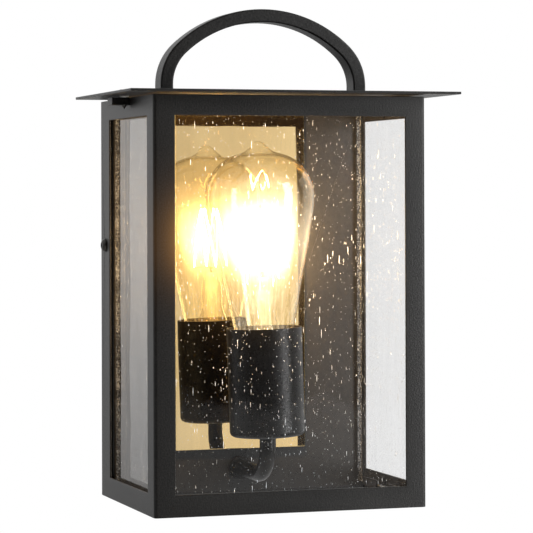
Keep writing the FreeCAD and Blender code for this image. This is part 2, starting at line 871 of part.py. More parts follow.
def side_screws(doc):
    """Button-head screws through the cage and the pan, each with a nut behind the bracket's slot."""
    names = []
    nuts = []
    for side, sign in SIDES.items():
        label = f"side_screw_{side}"
        screw = turned(doc, label, [
            ("0", "-dims.side_screw_long"),
            ("dims.side_screw_radius", "-dims.side_screw_long"),
            ("dims.side_screw_radius", "0"),
            ("dims.side_head_radius", "0"),
            ("dims.side_head_radius", "0.5", "3.6", True),
            ("2.2", "dims.side_head_tall"),
            ("0", "dims.side_head_tall"),
        ])
        recess = new_sketch(screw, "XY_Plane", f"{label}_recess", "dims.side_head_tall")
        outline(recess, hexagon("dims.side_socket_radius"))
        pocket(screw, recess, "dims.side_socket_deep")
        screw.Placement.Rotation = Rotation(Vector(0, 1, 0), 90 * sign)
        place(screw, f"{sign} * dims.cage_width / 2", "-dims.side_screw_back", "0")
        names.append(label)

        nut = new_body(doc, f"side_nut_{side}")
        flat = new_sketch(nut, "XY_Plane", f"side_nut_{side}_flat")
        outline(flat, hexagon("dims.nut_across / sqrt(3)"))
        ring(flat, "0", "0", "dims.side_screw_hole")
        pad(nut, flat, "dims.nut_tall")
        nut.Placement.Rotation = Rotation(Vector(0, 1, 0), -90 * sign)
        place(
            nut,
            f"{sign} * (dims.bracket_half - dims.bracket_thick - dims.nut_gap)",
            "-dims.side_screw_back",
            "0",
        )
        nuts.append(nut)
    group(doc, "side_nuts", nuts)
    return names + ["side_nuts"]


def hexagon(radius):
    """Six corners of a hexagon of a given corner radius."""
    corners = []
    for angle in range(30, 390, 60):
        across = math.cos(math.radians(angle))
        up = math.sin(math.radians(angle))
        corners.append((f"({radius}) * {across:.6f}", f"({radius}) * {up:.6f}"))
    return corners


# --- socket arm ---------------------------------------------------------------------------------------


def tube_path(doc, start_y, stop_z):
    """Route of the arm: out of the pan, one quarter bend, then up into the cup."""
    back = number(doc, "dims.arm_back")
    rise = number(doc, "dims.arm_rise - dims.cage_drop")
    bend = number(doc, "dims.arm_bend")
    start = Vector(0, start_y, rise)
    turn_in = Vector(0, -back + bend, rise)
    diagonal = bend * math.sin(math.radians(45))
    turn_mid = Vector(0, -back + bend - diagonal, rise + bend - diagonal)
    turn_out = Vector(0, -back, rise + bend)
    stop = Vector(0, -back, stop_z)
    return Part.Wire([
        Part.LineSegment(start, turn_in).toShape(),
        Part.Arc(turn_in, turn_mid, turn_out).toShape(),
        Part.LineSegment(turn_out, stop).toShape(),
    ])


def swept_tube(path, radius):
    """Round bar along a path, square to its first point."""
    first = path.Edges[0]
    start = first.Vertexes[0].Point
    along = first.tangentAt(first.FirstParameter)
    circle = Part.Wire([Part.Circle(start, along, radius).toShape()])
    return path.makePipeShell([circle], True, False)


def socket_arm(doc):
    """Hollow arm bent up from the pan into the bottom of the cup."""
    body = new_body(doc, "socket_arm")
    back = "-dims.arm_back"
    rise = "dims.arm_rise - dims.cage_drop"
    route = new_sketch(body, "YZ_Plane", "arm_route")
    points = [
        Vector(-number(doc, "dims.arm_tail"), number(doc, rise), 0),
        Vector(number(doc, f"{back} + dims.arm_bend"), number(doc, rise), 0),
        Vector(number(doc, back), number(doc, f"{rise} + dims.arm_bend"), 0),
        Vector(number(doc, back), number(doc, "dims.arm_stub - dims.cage_drop"), 0),
    ]
    bend, _ = arc_through(points[2], points[1], number(doc, "dims.arm_bend"), True)
    route.addGeometry(Part.LineSegment(points[0], points[1]), False)
    route.addGeometry(bend, False)
    route.addGeometry(Part.LineSegment(points[2], points[3]), False)
    _, bend_end = edge_ends(route, 1, points[2])
    bend_start = 3 - bend_end
    route.addConstraint(Sketcher.Constraint("Coincident", 0, 2, 1, bend_end))
    route.addConstraint(Sketcher.Constraint("Coincident", 1, bend_start, 2, 1))
    pin_point(route, 0, 1, "-dims.arm_tail", rise)
    pin_point(route, 0, 2, f"{back} + dims.arm_bend", rise)
    pin_point(route, 2, 1, back, f"{rise} + dims.arm_bend")
    pin_point(route, 2, 2, back, "dims.arm_stub - dims.cage_drop")
    radius = route.addConstraint(Sketcher.Constraint("Radius", 1, number(doc, "dims.arm_bend")))
    route.setExpression(f"Constraints[{radius}]", "dims.arm_bend")

    section = new_sketch(body, "XZ_Plane", "arm_section", "dims.arm_tail")
    ring(section, "0", rise, "dims.arm_radius")
    ring(section, "0", rise, "dims.arm_bore")
    doc.recompute()
    pipe = body.newObject("PartDesign::AdditivePipe", "arm_pipe")
    pipe.Profile = section
    pipe.Spine = (route, ["Edge1", "Edge2", "Edge3"])
    doc.recompute()

    collar = new_body(doc, "arm_collar")
    face = new_sketch(collar, "XZ_Plane", "collar_face", "dims.pan_reach")
    ring(face, "0", rise, "dims.collar_radius")
    ring(face, "0", rise, "dims.arm_clear")
    pad(collar, face, "dims.collar_thick")

    nut = new_body(doc, "arm_locknut")
    flat = new_sketch(nut, "XZ_Plane", "locknut_flat", "dims.pan_reach - dims.pan_thick - dims.locknut_thick")
    outline(flat, [(x, f"{y} + {rise}") for x, y in hexagon("dims.locknut_across / sqrt(3)")])
    ring(flat, "0", rise, "dims.arm_clear - 0.25")
    pad(nut, flat, "dims.locknut_thick")
    return ["socket_arm", "arm_collar", "arm_locknut"]


# --- lamp ---------------------------------------------------------------------------------------------


def lamp_placement(doc):
    """The lamp stands on the arm's stub and leans a little to the left."""
    foot = Vector(0, -number(doc, "dims.arm_back"), number(doc, "dims.lamp_foot - dims.cage_drop"))
    return Placement(foot, Rotation(Vector(0, 1, 0), -number(doc, "dims.lamp_lean")))


def stand_on_arm(body):
    """Bind a lamp piece to the arm's stub, with the lamp's lean."""
    body.Placement = lamp_placement(body.Document)
    place(body, "0", "-dims.arm_back", "dims.lamp_foot - dims.cage_drop")
    return body


def lamp_cup(doc):
    """Washer, spun cup with a rounded bottom edge, and the nut that clamps them on the arm."""
    stand_on_arm(turned(doc, "cup_washer", [
        ("dims.arm_clear", "0"),
        ("dims.washer_radius - 0.5", "0"),
        ("dims.washer_radius", "0.5"),
        ("dims.washer_radius", "dims.washer_thick"),
        ("dims.arm_clear", "dims.washer_thick"),
    ]))
    floor = "dims.washer_thick"
    rim = "dims.washer_thick + dims.cup_tall"
    stand_on_arm(turned(doc, "socket_cup", [
        ("dims.arm_clear", floor),
        ("dims.cup_radius - dims.cup_corner", floor, "dims.cup_corner", True),
        ("dims.cup_radius", f"{floor} + dims.cup_corner"),
        ("dims.cup_radius", rim),
        ("dims.cup_radius - dims.cup_wall", rim),
        (
            "dims.cup_radius - dims.cup_wall", f"{floor} + dims.cup_corner",
            "dims.cup_corner - dims.cup_wall", False,
        ),
        ("dims.cup_radius - dims.cup_corner", f"{floor} + dims.cup_wall"),
        ("dims.arm_clear", f"{floor} + dims.cup_wall"),
    ]))
    nut = new_body(doc, "cup_nut")
    flat = new_sketch(nut, "XY_Plane", "cup_nut_flat", "dims.washer_thick + dims.cup_wall")
    outline(flat, hexagon("dims.cup_nut_across / sqrt(3)"))
    ring(flat, "0", "0", "dims.arm_clear")
    pad(nut, flat, "dims.cup_nut_tall")
    stand_on_arm(nut)
    return ["cup_washer", "socket_cup", "cup_nut"]


def lamp_holder(doc):
    """Ceramic holder with its brass screw shell and centre contact."""
    holder = turned(doc, "lamp_holder", [
        ("0", "dims.holder_base"),
        ("dims.holder_radius - 1.5", "dims.holder_base"),
        ("dims.holder_radius", "dims.holder_base + 1.5"),
        ("dims.holder_radius", "dims.holder_top"),
        ("dims.shell_bore + dims.shell_wall + 0.05", "dims.holder_top"),
        ("dims.shell_bore + dims.shell_wall + 0.05", "dims.holder_floor"),
        ("0", "dims.holder_floor"),
    ])
    holes = new_sketch(holder, "XY_Plane", "holder_wire_holes", "dims.holder_base")
    for sign in SIDES.values():
        ring(holes, f"{sign} * dims.wire_side", "0", "dims.wire_radius + 0.15")
    pocket(holder, holes, "6", backwards=True)
    stand_on_arm(holder)
    stand_on_arm(turned(doc, "screw_shell", [
        ("10", "dims.holder_floor"),
        ("dims.shell_bore + dims.shell_wall", "dims.holder_floor"),
        ("dims.shell_bore + dims.shell_wall", "dims.holder_top - 0.5"),
        ("dims.shell_bore", "dims.holder_top - 0.5"),
        ("dims.shell_bore", "dims.holder_floor + dims.shell_wall"),
        ("10", "dims.holder_floor + dims.shell_wall"),
    ]))
    stand_on_arm(turned(doc, "centre_contact", [
        ("0", "dims.holder_floor"),
        ("6", "dims.holder_floor"),
        ("6", "dims.holder_floor + 0.6"),
        ("dims.contact_radius", "dims.holder_floor + 1"),
        ("dims.contact_radius - 0.8", "dims.cap_foot - 0.15"),
        ("0", "dims.cap_foot - 0.15"),
    ]))
    return ["lamp_holder", "screw_shell", "centre_contact"]


def wiring(doc):
    """Terminal block in the pan and two leads from it through the arm to the holder."""
    block = plain_box(
        doc, "terminal_body",
        "dims.terminal_width", "dims.terminal_deep", "dims.terminal_tall",
        "-dims.terminal_width / 2",
        "-dims.pan_reach + dims.pan_thick",
        "dims.terminal_rise - dims.cage_drop",
    )
    holes = []
    for sign in SIDES.values():
        for height, name in ((0.3, "low"), (0.7, "high")):
            hole = doc.addObject("Part::Cylinder", f"terminal_screw_hole_{name}_{sign + 1}")
            bind(hole, Radius="2", Height="5")
            hole.Placement.Rotation = Rotation(Vector(1, 0, 0), 90)
            place(
                hole,
                f"{sign} * dims.terminal_width / 4",
                "-dims.pan_reach + dims.pan_thick + dims.terminal_deep + 1",
                f"dims.terminal_rise - dims.cage_drop + dims.terminal_tall * {height}",
            )
            holes.append(hole)
    tools = group(doc, "terminal_tools", holes)
    terminal = doc.addObject("Part::Cut", "terminal_block")
    terminal.Label = "terminal_block"
    terminal.Base = block
    terminal.Tool = tools

    names = ["terminal_block"]
    rise = number(doc, "dims.arm_rise - dims.cage_drop")
    top = number(doc, "dims.terminal_rise - dims.cage_drop")
    foot = number(doc, "dims.lamp_foot - dims.cage_drop")
    back = number(doc, "dims.arm_back")
    bend = number(doc, "dims.arm_bend")
    behind = number(doc, "dims.lead_back")
    for name, sign in (("lead_live", -1), ("lead_neutral", 1)):
        side = sign * number(doc, "dims.wire_side")
        stop = foot + number(doc, "dims.holder_base") + 4.5
        shift = -math.sin(math.radians(number(doc, "dims.lamp_lean"))) * (stop - foot)
        corners = [
            Vector(side, -behind, top),
            Vector(side, -behind, rise),
            Vector(side, -back, rise),
            Vector(side + shift, -back, stop),
        ]
        path = rounded_path(corners, [number(doc, "dims.lead_bend"), bend])
        shape = swept_tube(path, number(doc, "dims.wire_radius"))
        free_shape(doc, name, shape)
        names.append(name)
    return names


def rounded_path(corners, radii):
    """Straight runs through corners, joined by tangent arcs of the given radii."""
    edges = []
    last = corners[0]
    for corner, after, radius in zip(corners[1:-1], corners[2:], radii):
        before = (last - corner).normalize()
        beyond = (after - corner).normalize()
        angle = before.getAngle(beyond)
        leg = radius / math.tan(angle / 2)
        start = corner + before * leg
        finish = corner + beyond * leg
        towards = (before + beyond).normalize()
        centre = corner + towards * (radius / math.sin(angle / 2))
        edges.append(Part.LineSegment(last, start).toShape())
        edges.append(Part.Arc(start, centre - towards * radius, finish).toShape())
        last = finish
    edges.append(Part.LineSegment(last, corners[-1]).toShape())
    return Part.Wire(edges)


def bulb_cap(doc):
    """Threaded brass cap: a sleeve whose outside follows the thread's crests and roots."""
    low = number(doc, "dims.cap_foot + 4")
    pitch = number(doc, "dims.thread_pitch")
    crest = "dims.cap_radius"
    root = "dims.cap_root"
    corners = [("dims.cap_throat", "dims.cap_foot + 2"), (root, f"{low}")]
    for index in range(THREAD_TURNS):
        corners.append((crest, f"{low + (index + 0.5) * pitch:.4f}"))
        corners.append((root, f"{low + (index + 1) * pitch:.4f}"))
    corners += [
        (root, "dims.cap_top"),
        (f"{root} - 0.4", "dims.cap_top"),
        (f"{root} - 0.4", f"{low}"),
        ("dims.cap_throat", "dims.cap_foot + 2.5"),
    ]
    stand_on_arm(turned(doc, "bulb_cap", corners))
    stand_on_arm(turned(doc, "bulb_insulator", [
        ("dims.bulb_contact_radius", "dims.cap_foot + 1"),
        ("dims.insulator_radius", "dims.cap_foot + 2"),
        ("dims.insulator_radius", "dims.cap_foot + 5"),
        ("dims.bulb_contact_radius", "dims.cap_foot + 5"),
    ]))
    stand_on_arm(turned(doc, "bulb_contact", [
        ("0", "dims.cap_foot"),
        ("dims.bulb_contact_radius - 1.2", "dims.cap_foot"),
        ("dims.bulb_contact_radius", "dims.cap_foot + 1"),
        ("dims.bulb_contact_radius", "dims.cap_foot + 2"),
        ("0", "dims.cap_foot + 2"),
    ]))
    return ["bulb_cap", "bulb_insulator", "bulb_contact"]


def bulb_corners(inset):
    """Radius and height of the glass from the neck up to the foot of the knob, moved in by inset."""
    dome = f"(dims.bulb_dome - {inset}) / dims.bulb_dome"
    return [
        (f"dims.bulb_neck - {inset}", "dims.cap_top + 1"),
        (f"dims.bulb_throat - {inset}", "dims.bulb_throat_top"),
        (f"dims.bulb_taper_end - {inset}", "dims.bulb_taper_top", f"dims.bulb_swell - {inset}", True),
        (f"dims.bulb_radius - {inset}", "dims.bulb_belly", f"dims.bulb_dome - {inset}", True),
        (
            f"dims.bulb_radius - dims.bulb_dome + dims.bulb_dome_end * {dome}",
            f"dims.bulb_belly + dims.bulb_dome_rise * {dome}",
        ),
    ]


def bulb_glass(doc):
    """Pear-shaped glass with a drawn-off knob on its crown."""
    outer = bulb_corners("0")
    outer[-1] += ("dims.bulb_flank", False)
    outer += [
        ("dims.bulb_knob_edge", "dims.bulb_tip - dims.bulb_knob_drop", "dims.bulb_knob", True),
        ("dims.bulb_nib", "dims.bulb_tip - dims.bulb_nib_drop"),
        ("0", "dims.bulb_tip"),
    ]
    inner = bulb_corners("dims.bulb_wall")
    points = [corner[:2] for corner in inner]
    arcs = [(corner[2], not corner[3]) if len(corner) == 4 else () for corner in inner]
    crown = "dims.bulb_belly + dims.bulb_dome - dims.bulb_wall"
    profile = outer + [("0", crown)]
    for index in reversed(range(len(points))):
        profile.append(points[index] + (arcs[index - 1] if index else ()))
    stand_on_arm(turned(doc, "bulb_glass", profile))
    return ["bulb_glass"]


def bulb_inside(doc):
    """Glass stem, support wires with their hubs, and the filament strung in a cage between them."""
    foot = number(doc, "dims.cap_top + 1.5")
    stem_top = number(doc, "dims.stem_top")
    hub_top = number(doc, "dims.hub_top")
    radius = number(doc, "dims.stem_radius")
    stand = lamp_placement(doc)
    rise, press = STEM_FLARE["rise"], STEM_FLARE["press"]
    flare = Part.makeCone(radius + STEM_FLARE["spread"], radius, rise, Vector(0, 0, foot))
    tube = Part.makeCylinder(radius, stem_top - foot - rise - press, Vector(0, 0, foot + rise))
    tip = Part.makeCone(radius, STEM_FLARE["press_radius"], press, Vector(0, 0, stem_top - press))
    free_shape(doc, "bulb_stem", flare.fuse([tube, tip]).removeSplitter(), stand)

    levels = {True: hub_top - HOOK_INSET["top"], False: stem_top + HOOK_INSET["foot"]}
    rings = {True: number(doc, "dims.cage_radius_top"), False: number(doc, "dims.cage_radius_foot")}
    supports = Part.makeCylinder(SUPPORT_ROD, hub_top - stem_top, Vector(0, 0, stem_top))
    for index in range(FILAMENT_RUNS):
        is_top = index % 2 == 1
        angle = 2 * math.pi * index / FILAMENT_RUNS
        along = Vector(math.cos(angle), math.sin(angle), 0)
        arm = Part.makeCylinder(SUPPORT_WIRE, rings[is_top], Vector(0, 0, levels[is_top]), along)
        supports = supports.fuse(arm)
    free_shape(doc, "bulb_supports", supports.removeSplitter(), stand)

    thick = number(doc, "dims.filament_radius")
    runs = []
    for index in range(FILAMENT_RUNS):
        ends = []
        for step in (index, index + 1):
            is_top = step % 2 == 1
            angle = 2 * math.pi * step / FILAMENT_RUNS
            reach = rings[is_top] + SUPPORT_WIRE + 0.1
            ends.append(Vector(math.cos(angle) * reach, math.sin(angle) * reach, levels[is_top]))
        along = ends[1] - ends[0]
        gap = along.normalize() * (thick * 1.6)
        length = (ends[1] - ends[0]).Length - 2 * gap.Length
        runs.append(Part.makeCylinder(thick, length, ends[0] + gap, along))
    free_shape(doc, "bulb_filament", Part.makeCompound(runs), stand)
    return ["bulb_stem", "bulb_supports", "bulb_filament"]


# --- assembly -----------------------------------------------------------------------------------------


BUILDERS = (
    wall_bracket, ground_screw, cage, back_pan, mirror, panes, pane_tabs, lugs, roof_plate, handle_loop,
    handle_screws, roof_screws, side_screws, socket_arm, lamp_cup, lamp_holder, wiring, bulb_cap,
    bulb_glass, bulb_inside,
)


def check_document(doc):
    """Stop if any object failed to compute."""
    for thing in doc.Objects:
        if "Invalid" in thing.State or "Error" in thing.State:
            raise RuntimeError(f"{thing.Label} did not compute: {thing.State}")


def export(doc, names):
    """Write each sub-part to its own STEP file after checking its shape."""
    os.makedirs("parts", exist_ok=True)
    for name in names:
        thing = doc.getObjectsByLabel(name)[0]
        shape = thing.Shape
        if shape.isNull() or not shape.isValid():
            raise RuntimeError(f"{name} has no valid shape")
        print(f"{name:20s} solids {len(shape.Solids)} volume {shape.Volume:10.1f} mm3")
        shape.exportStep(f"parts/{name}.step")


def main():
    """Build every sub-part and export it."""
    doc = FreeCAD.newDocument("wall_lantern")
    make_sheet(doc)
    names = []
    for builder in BUILDERS:
        names += builder(doc)
    doc.recompute()
    check_document(doc)
    export(doc, names)


main()
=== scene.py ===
"""Looks of an outdoor wall lantern: finishes, glass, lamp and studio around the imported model.

Everything is in metres in the model's own frame: the wall is the plane y = 0, the lantern stands out of
it towards -y, +z is up and +x is to the right of someone facing the lantern.
"""

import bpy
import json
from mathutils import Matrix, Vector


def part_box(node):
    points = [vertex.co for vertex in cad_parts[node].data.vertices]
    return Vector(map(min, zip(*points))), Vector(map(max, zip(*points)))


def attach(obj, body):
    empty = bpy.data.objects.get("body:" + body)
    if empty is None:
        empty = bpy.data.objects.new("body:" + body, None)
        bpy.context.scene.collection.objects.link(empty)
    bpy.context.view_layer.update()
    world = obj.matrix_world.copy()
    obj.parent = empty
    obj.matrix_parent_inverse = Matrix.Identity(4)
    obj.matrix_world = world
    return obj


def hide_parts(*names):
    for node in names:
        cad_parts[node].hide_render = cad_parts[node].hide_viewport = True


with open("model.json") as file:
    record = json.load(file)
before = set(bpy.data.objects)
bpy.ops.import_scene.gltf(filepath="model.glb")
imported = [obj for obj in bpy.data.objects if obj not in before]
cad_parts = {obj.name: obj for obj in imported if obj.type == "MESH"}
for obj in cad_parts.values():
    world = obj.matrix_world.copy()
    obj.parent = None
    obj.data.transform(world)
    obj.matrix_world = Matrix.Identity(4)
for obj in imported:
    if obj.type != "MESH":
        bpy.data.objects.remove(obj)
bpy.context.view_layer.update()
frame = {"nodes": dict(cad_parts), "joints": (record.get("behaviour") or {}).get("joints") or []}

import json
import logging
import math
from dataclasses import dataclass, field
from enum import Enum
from typing import Optional, Sequence

import bpy
import numpy as np
from mathutils import Matrix, Vector

log = logging.getLogger("wall_lantern")

MM = 0.001
TURN = 2.0 * math.pi
WELD = 2e-6
TINY = 1e-12
WHITE = (1.0, 1.0, 1.0, 1.0)
SHARP = math.radians(40)
Colour = tuple[float, float, float]
Material = bpy.types.Material
Socket = bpy.types.NodeSocket


# --- surfaces -----------------------------------------------------------------------------------------


@dataclass
class Surface:
    """Points and faces of one patch of a piece.

    Args:
        points: array of shape (n, 3), metres.
        faces: arrays of corner numbers, each of shape (m, 3) or (m, 4).
        slot: number of the finish in the piece's list.
        smooth: whether light runs smoothly over the faces.
    """

    points: np.ndarray
    faces: list[np.ndarray]
    slot: int = 0
    smooth: bool = True

    def moved(self, matrix: np.ndarray) -> "Surface":
        """Return a copy with every point p taken to A p + b, for a 3 x 4 matrix [A | b]."""
        points = self.points @ matrix[:, :3].T + matrix[:, 3]
        return Surface(points, self.faces, self.slot, self.smooth)

    def inside_out(self) -> "Surface":
        """Return a copy whose faces look the other way."""
        return Surface(self.points, [f[:, ::-1] for f in self.faces], self.slot, self.smooth)


def grid_faces(rows: int, columns: int, close_rows: bool = False, close_columns: bool = False) -> np.ndarray:
    """Number the quads of a grid of points stored row by row.

    The quad of row i and column j joins points (i, j), (i, j+1), (i+1, j+1) and (i+1, j); a closed
    direction takes its next number modulo its count.

    Args:
        rows: how many rows of points.
        columns: how many points in a row.
        close_rows: join the last row to the first.
        close_columns: join the last column to the first.

    Returns:
        Array of shape (m, 4).
    """
    i = np.arange(rows if close_rows else rows - 1)[:, None]
    j = np.arange(columns if close_columns else columns - 1)[None, :]
    down, right = (i + 1) % rows, (j + 1) % columns
    corners = (i * columns + j, i * columns + right, down * columns + right, down * columns + j)
    return np.stack(np.broadcast_arrays(*corners), axis=-1).reshape(-1, 4)


def turned(radius: np.ndarray, height: np.ndarray, sides: int) -> Surface:
    """Turn an outline once round the z axis.

    A point is (r(s) cos a, r(s) sin a, h(s)) for outline step s and angle a. Outlines run with the
    material on their left, seen with the radius to the right, so that faces look outwards.

    Args:
        radius: outline radii.
        height: outline heights.
        sides: steps round the axis.

    Returns:
        The surface; its poles, where the radius is zero, close when the piece is welded.
    """
    angle = np.arange(sides) * TURN / sides
    x = radius[:, None] * np.cos(angle)
    y = radius[:, None] * np.sin(angle)
    z = np.broadcast_to(height[:, None], x.shape)
    points = np.stack([x, y, z], axis=-1).reshape(-1, 3)
    return Surface(points, [grid_faces(len(radius), sides, close_columns=True)])


def swept(path: np.ndarray, radius: float, sides: int) -> Surface:
    """Carry a circle along a path.

    At each path point the circle lies in the plane of n = t x u and b = t x n, where t is the path's
    direction and u the direction that the whole path turns least about; a point is
    p + r (n cos a + b sin a). Both ends are closed by a circle shrunk to the path.

    Args:
        path: points of shape (n, 3).
        radius: the circle's radius, metres.
        sides: points round the circle.

    Returns:
        The tube's surface.
    """
    radii = np.concatenate([[0.0], np.full(len(path), radius), [0.0]])
    path = np.vstack([path[:1], path, path[-1:]])
    step = np.gradient(path, axis=0)
    step[:2] = path[2] - path[1]
    step[-2:] = path[-2] - path[-3]
    along = step / np.maximum(np.linalg.norm(step, axis=1, keepdims=True), TINY)
    reference = np.linalg.eigh(along.T @ along)[1][:, 0]
    normal = np.cross(along, reference)
    normal /= np.maximum(np.linalg.norm(normal, axis=1, keepdims=True), TINY)
    binormal = np.cross(along, normal)
    angle = (np.arange(sides) * TURN / sides)[None, :, None]
    ring = normal[:, None] * np.cos(angle) + binormal[:, None] * np.sin(angle)
    points = path[:, None] + radii[:, None, None] * ring
    return Surface(points.reshape(-1, 3), [grid_faces(len(path), sides, close_columns=True)])


def seeds(centres: np.ndarray, sizes: np.ndarray, slot: int) -> Surface:
    """Scatter small egg-shaped bubbles.

    Each bubble is a unit ball of 5 rings of 6 points, scaled by its own three sizes and moved to its
    centre, all as one array.

    Args:
        centres: array (n, 3).
        sizes: half sizes (n, 3).
        slot: finish number.

    Returns:
        All bubbles as one surface.
    """
    tilt = np.array([0.0, 0.2, 0.5, 0.8, 1.0]) * math.pi
    angle = np.arange(6) * TURN / 6
    ball = np.stack(
        [
            np.sin(tilt)[:, None] * np.cos(angle),
            np.sin(tilt)[:, None] * np.sin(angle),
            np.broadcast_to(-np.cos(tilt)[:, None], (5, 6)),
        ],
        axis=-1,
    ).reshape(-1, 3)
    faces = grid_faces(5, 6, close_columns=True)
    points = centres[:, None] + sizes[:, None] * ball
    shift = (np.arange(len(centres)) * len(ball))[:, None, None]
    return Surface(points.reshape(-1, 3), [(faces[None] + shift).reshape(-1, 4)], slot)


def arc(start: Sequence[float], finish: Sequence[float], radius: float, left: bool, steps: int) -> np.ndarray:
    """Sample an arc of a given radius between two points of a plane.

    The centre lies on the perpendicular bisector, sqrt(r^2 - (chord/2)^2) from the chord, on its left or
    right; the angle then runs the short way from start to finish.

    Args:
        start: first point.
        finish: last point.
        radius: the arc's radius.
        left: put the centre on the chord's left.
        steps: number of points.

    Returns:
        Array (steps, 2).
    """
    a, b = np.asarray(start, float), np.asarray(finish, float)
    chord = b - a
    length = float(np.hypot(*chord))
    normal = np.array([-chord[1], chord[0]]) / length * (1.0 if left else -1.0)
    centre = (a + b) / 2 + normal * math.sqrt(max(radius**2 - length**2 / 4, 0.0))
    first = math.atan2(*(a - centre)[::-1])
    sweep = (math.atan2(*(b - centre)[::-1]) - first + math.pi) % TURN - math.pi
    angle = first + sweep * np.linspace(0, 1, steps)
    return centre + radius * np.stack([np.cos(angle), np.sin(angle)], axis=-1)


def piece(name: str, surfaces: Sequence[Surface], finishes: Sequence[Material]) -> bpy.types.Object:
    """Make one object of several surfaces, welded where they meet.

    Args:
        name: object's name.
        surfaces: its patches.
        finishes: its materials, in slot order.

    Returns:
        The object, at the origin with its place in its mesh.
    """
    offset = np.cumsum([0] + [len(s.points) for s in surfaces])
    points = np.vstack([s.points for s in surfaces])
    faces, slots, smooth = [], [], []
    for surface, shift in zip(surfaces, offset):
        for block in surface.faces:
            faces.append(block + shift)
            slots.append(np.full(len(block), surface.slot))
            smooth.append(np.full(len(block), surface.smooth))
    cells = np.round(points / WELD).astype(np.int64)
    _, first, where = np.unique(cells, axis=0, return_index=True, return_inverse=True)
    where = where.reshape(-1)
    corners, marks = [], []
    for block, slot, soft in zip(faces, slots, smooth):
        new = where[block]
        keep = new != np.roll(new, -1, axis=1)
        good = keep.sum(axis=1) >= 3
        corners += [row[mask].tolist() for row, mask in zip(new[good], keep[good])]
        marks.append(np.stack([slot[good], soft[good]], axis=-1))
    marks = np.vstack(marks).astype(np.int32)
    mesh = bpy.data.meshes.new(name)
    mesh.from_pydata(points[first].tolist(), [], corners)
    mesh.polygons.foreach_set("material_index", np.ascontiguousarray(marks[:, 0]))
    mesh.polygons.foreach_set("use_smooth", marks[:, 1].astype(bool))
    for finish in finishes:
        mesh.materials.append(finish)
    mesh.validate()
    mesh.update()
    thing = bpy.data.objects.new(name, mesh)
    bpy.context.scene.collection.objects.link(thing)
    return thing


def rides(thing: bpy.types.Object, body: str, slot: str, *nodes: str) -> bpy.types.Object:
    """Let a new piece move with a body and stand for CAD nodes."""
    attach(thing, body)
    if nodes:
        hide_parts(*nodes)
    log.info("%s rides on %s with %d faces", thing.name, body, len(thing.data.polygons))
    return thing


def softened(node: str, name: str, width: float, finish: Material, segments: int = 2) -> bpy.types.Object:
    """Copy a sheet-metal node, weld its loose triangles and round its sharp edges.

    Args:
        node: CAD node.
        name: new piece.
        width: width of the rounded edge, metres.
        finish: its material.
        segments: faces across the rounding.

    Returns:
        The new object with a live Bevel modifier.
    """
    source = frame["nodes"][node].data
    points = np.zeros(len(source.vertices) * 3)
    source.vertices.foreach_get("co", points)
    triangles = np.zeros(len(source.loops), np.int64)
    source.loops.foreach_get("vertex_index", triangles)
    surface = Surface(points.reshape(-1, 3), [triangles.reshape(-1, 3)], 0, True)
    thing = piece(name, [surface], [finish])
    bevel = thing.modifiers.new("edges", "BEVEL")
    bevel.width = width
    bevel.segments = segments
    bevel.limit_method = "ANGLE"
    bevel.angle_limit = SHARP
    bevel.use_clamp_overlap = True
    bevel.harden_normals = True
    return thing


# --- materials ----------------------------------------------------------------------------------------


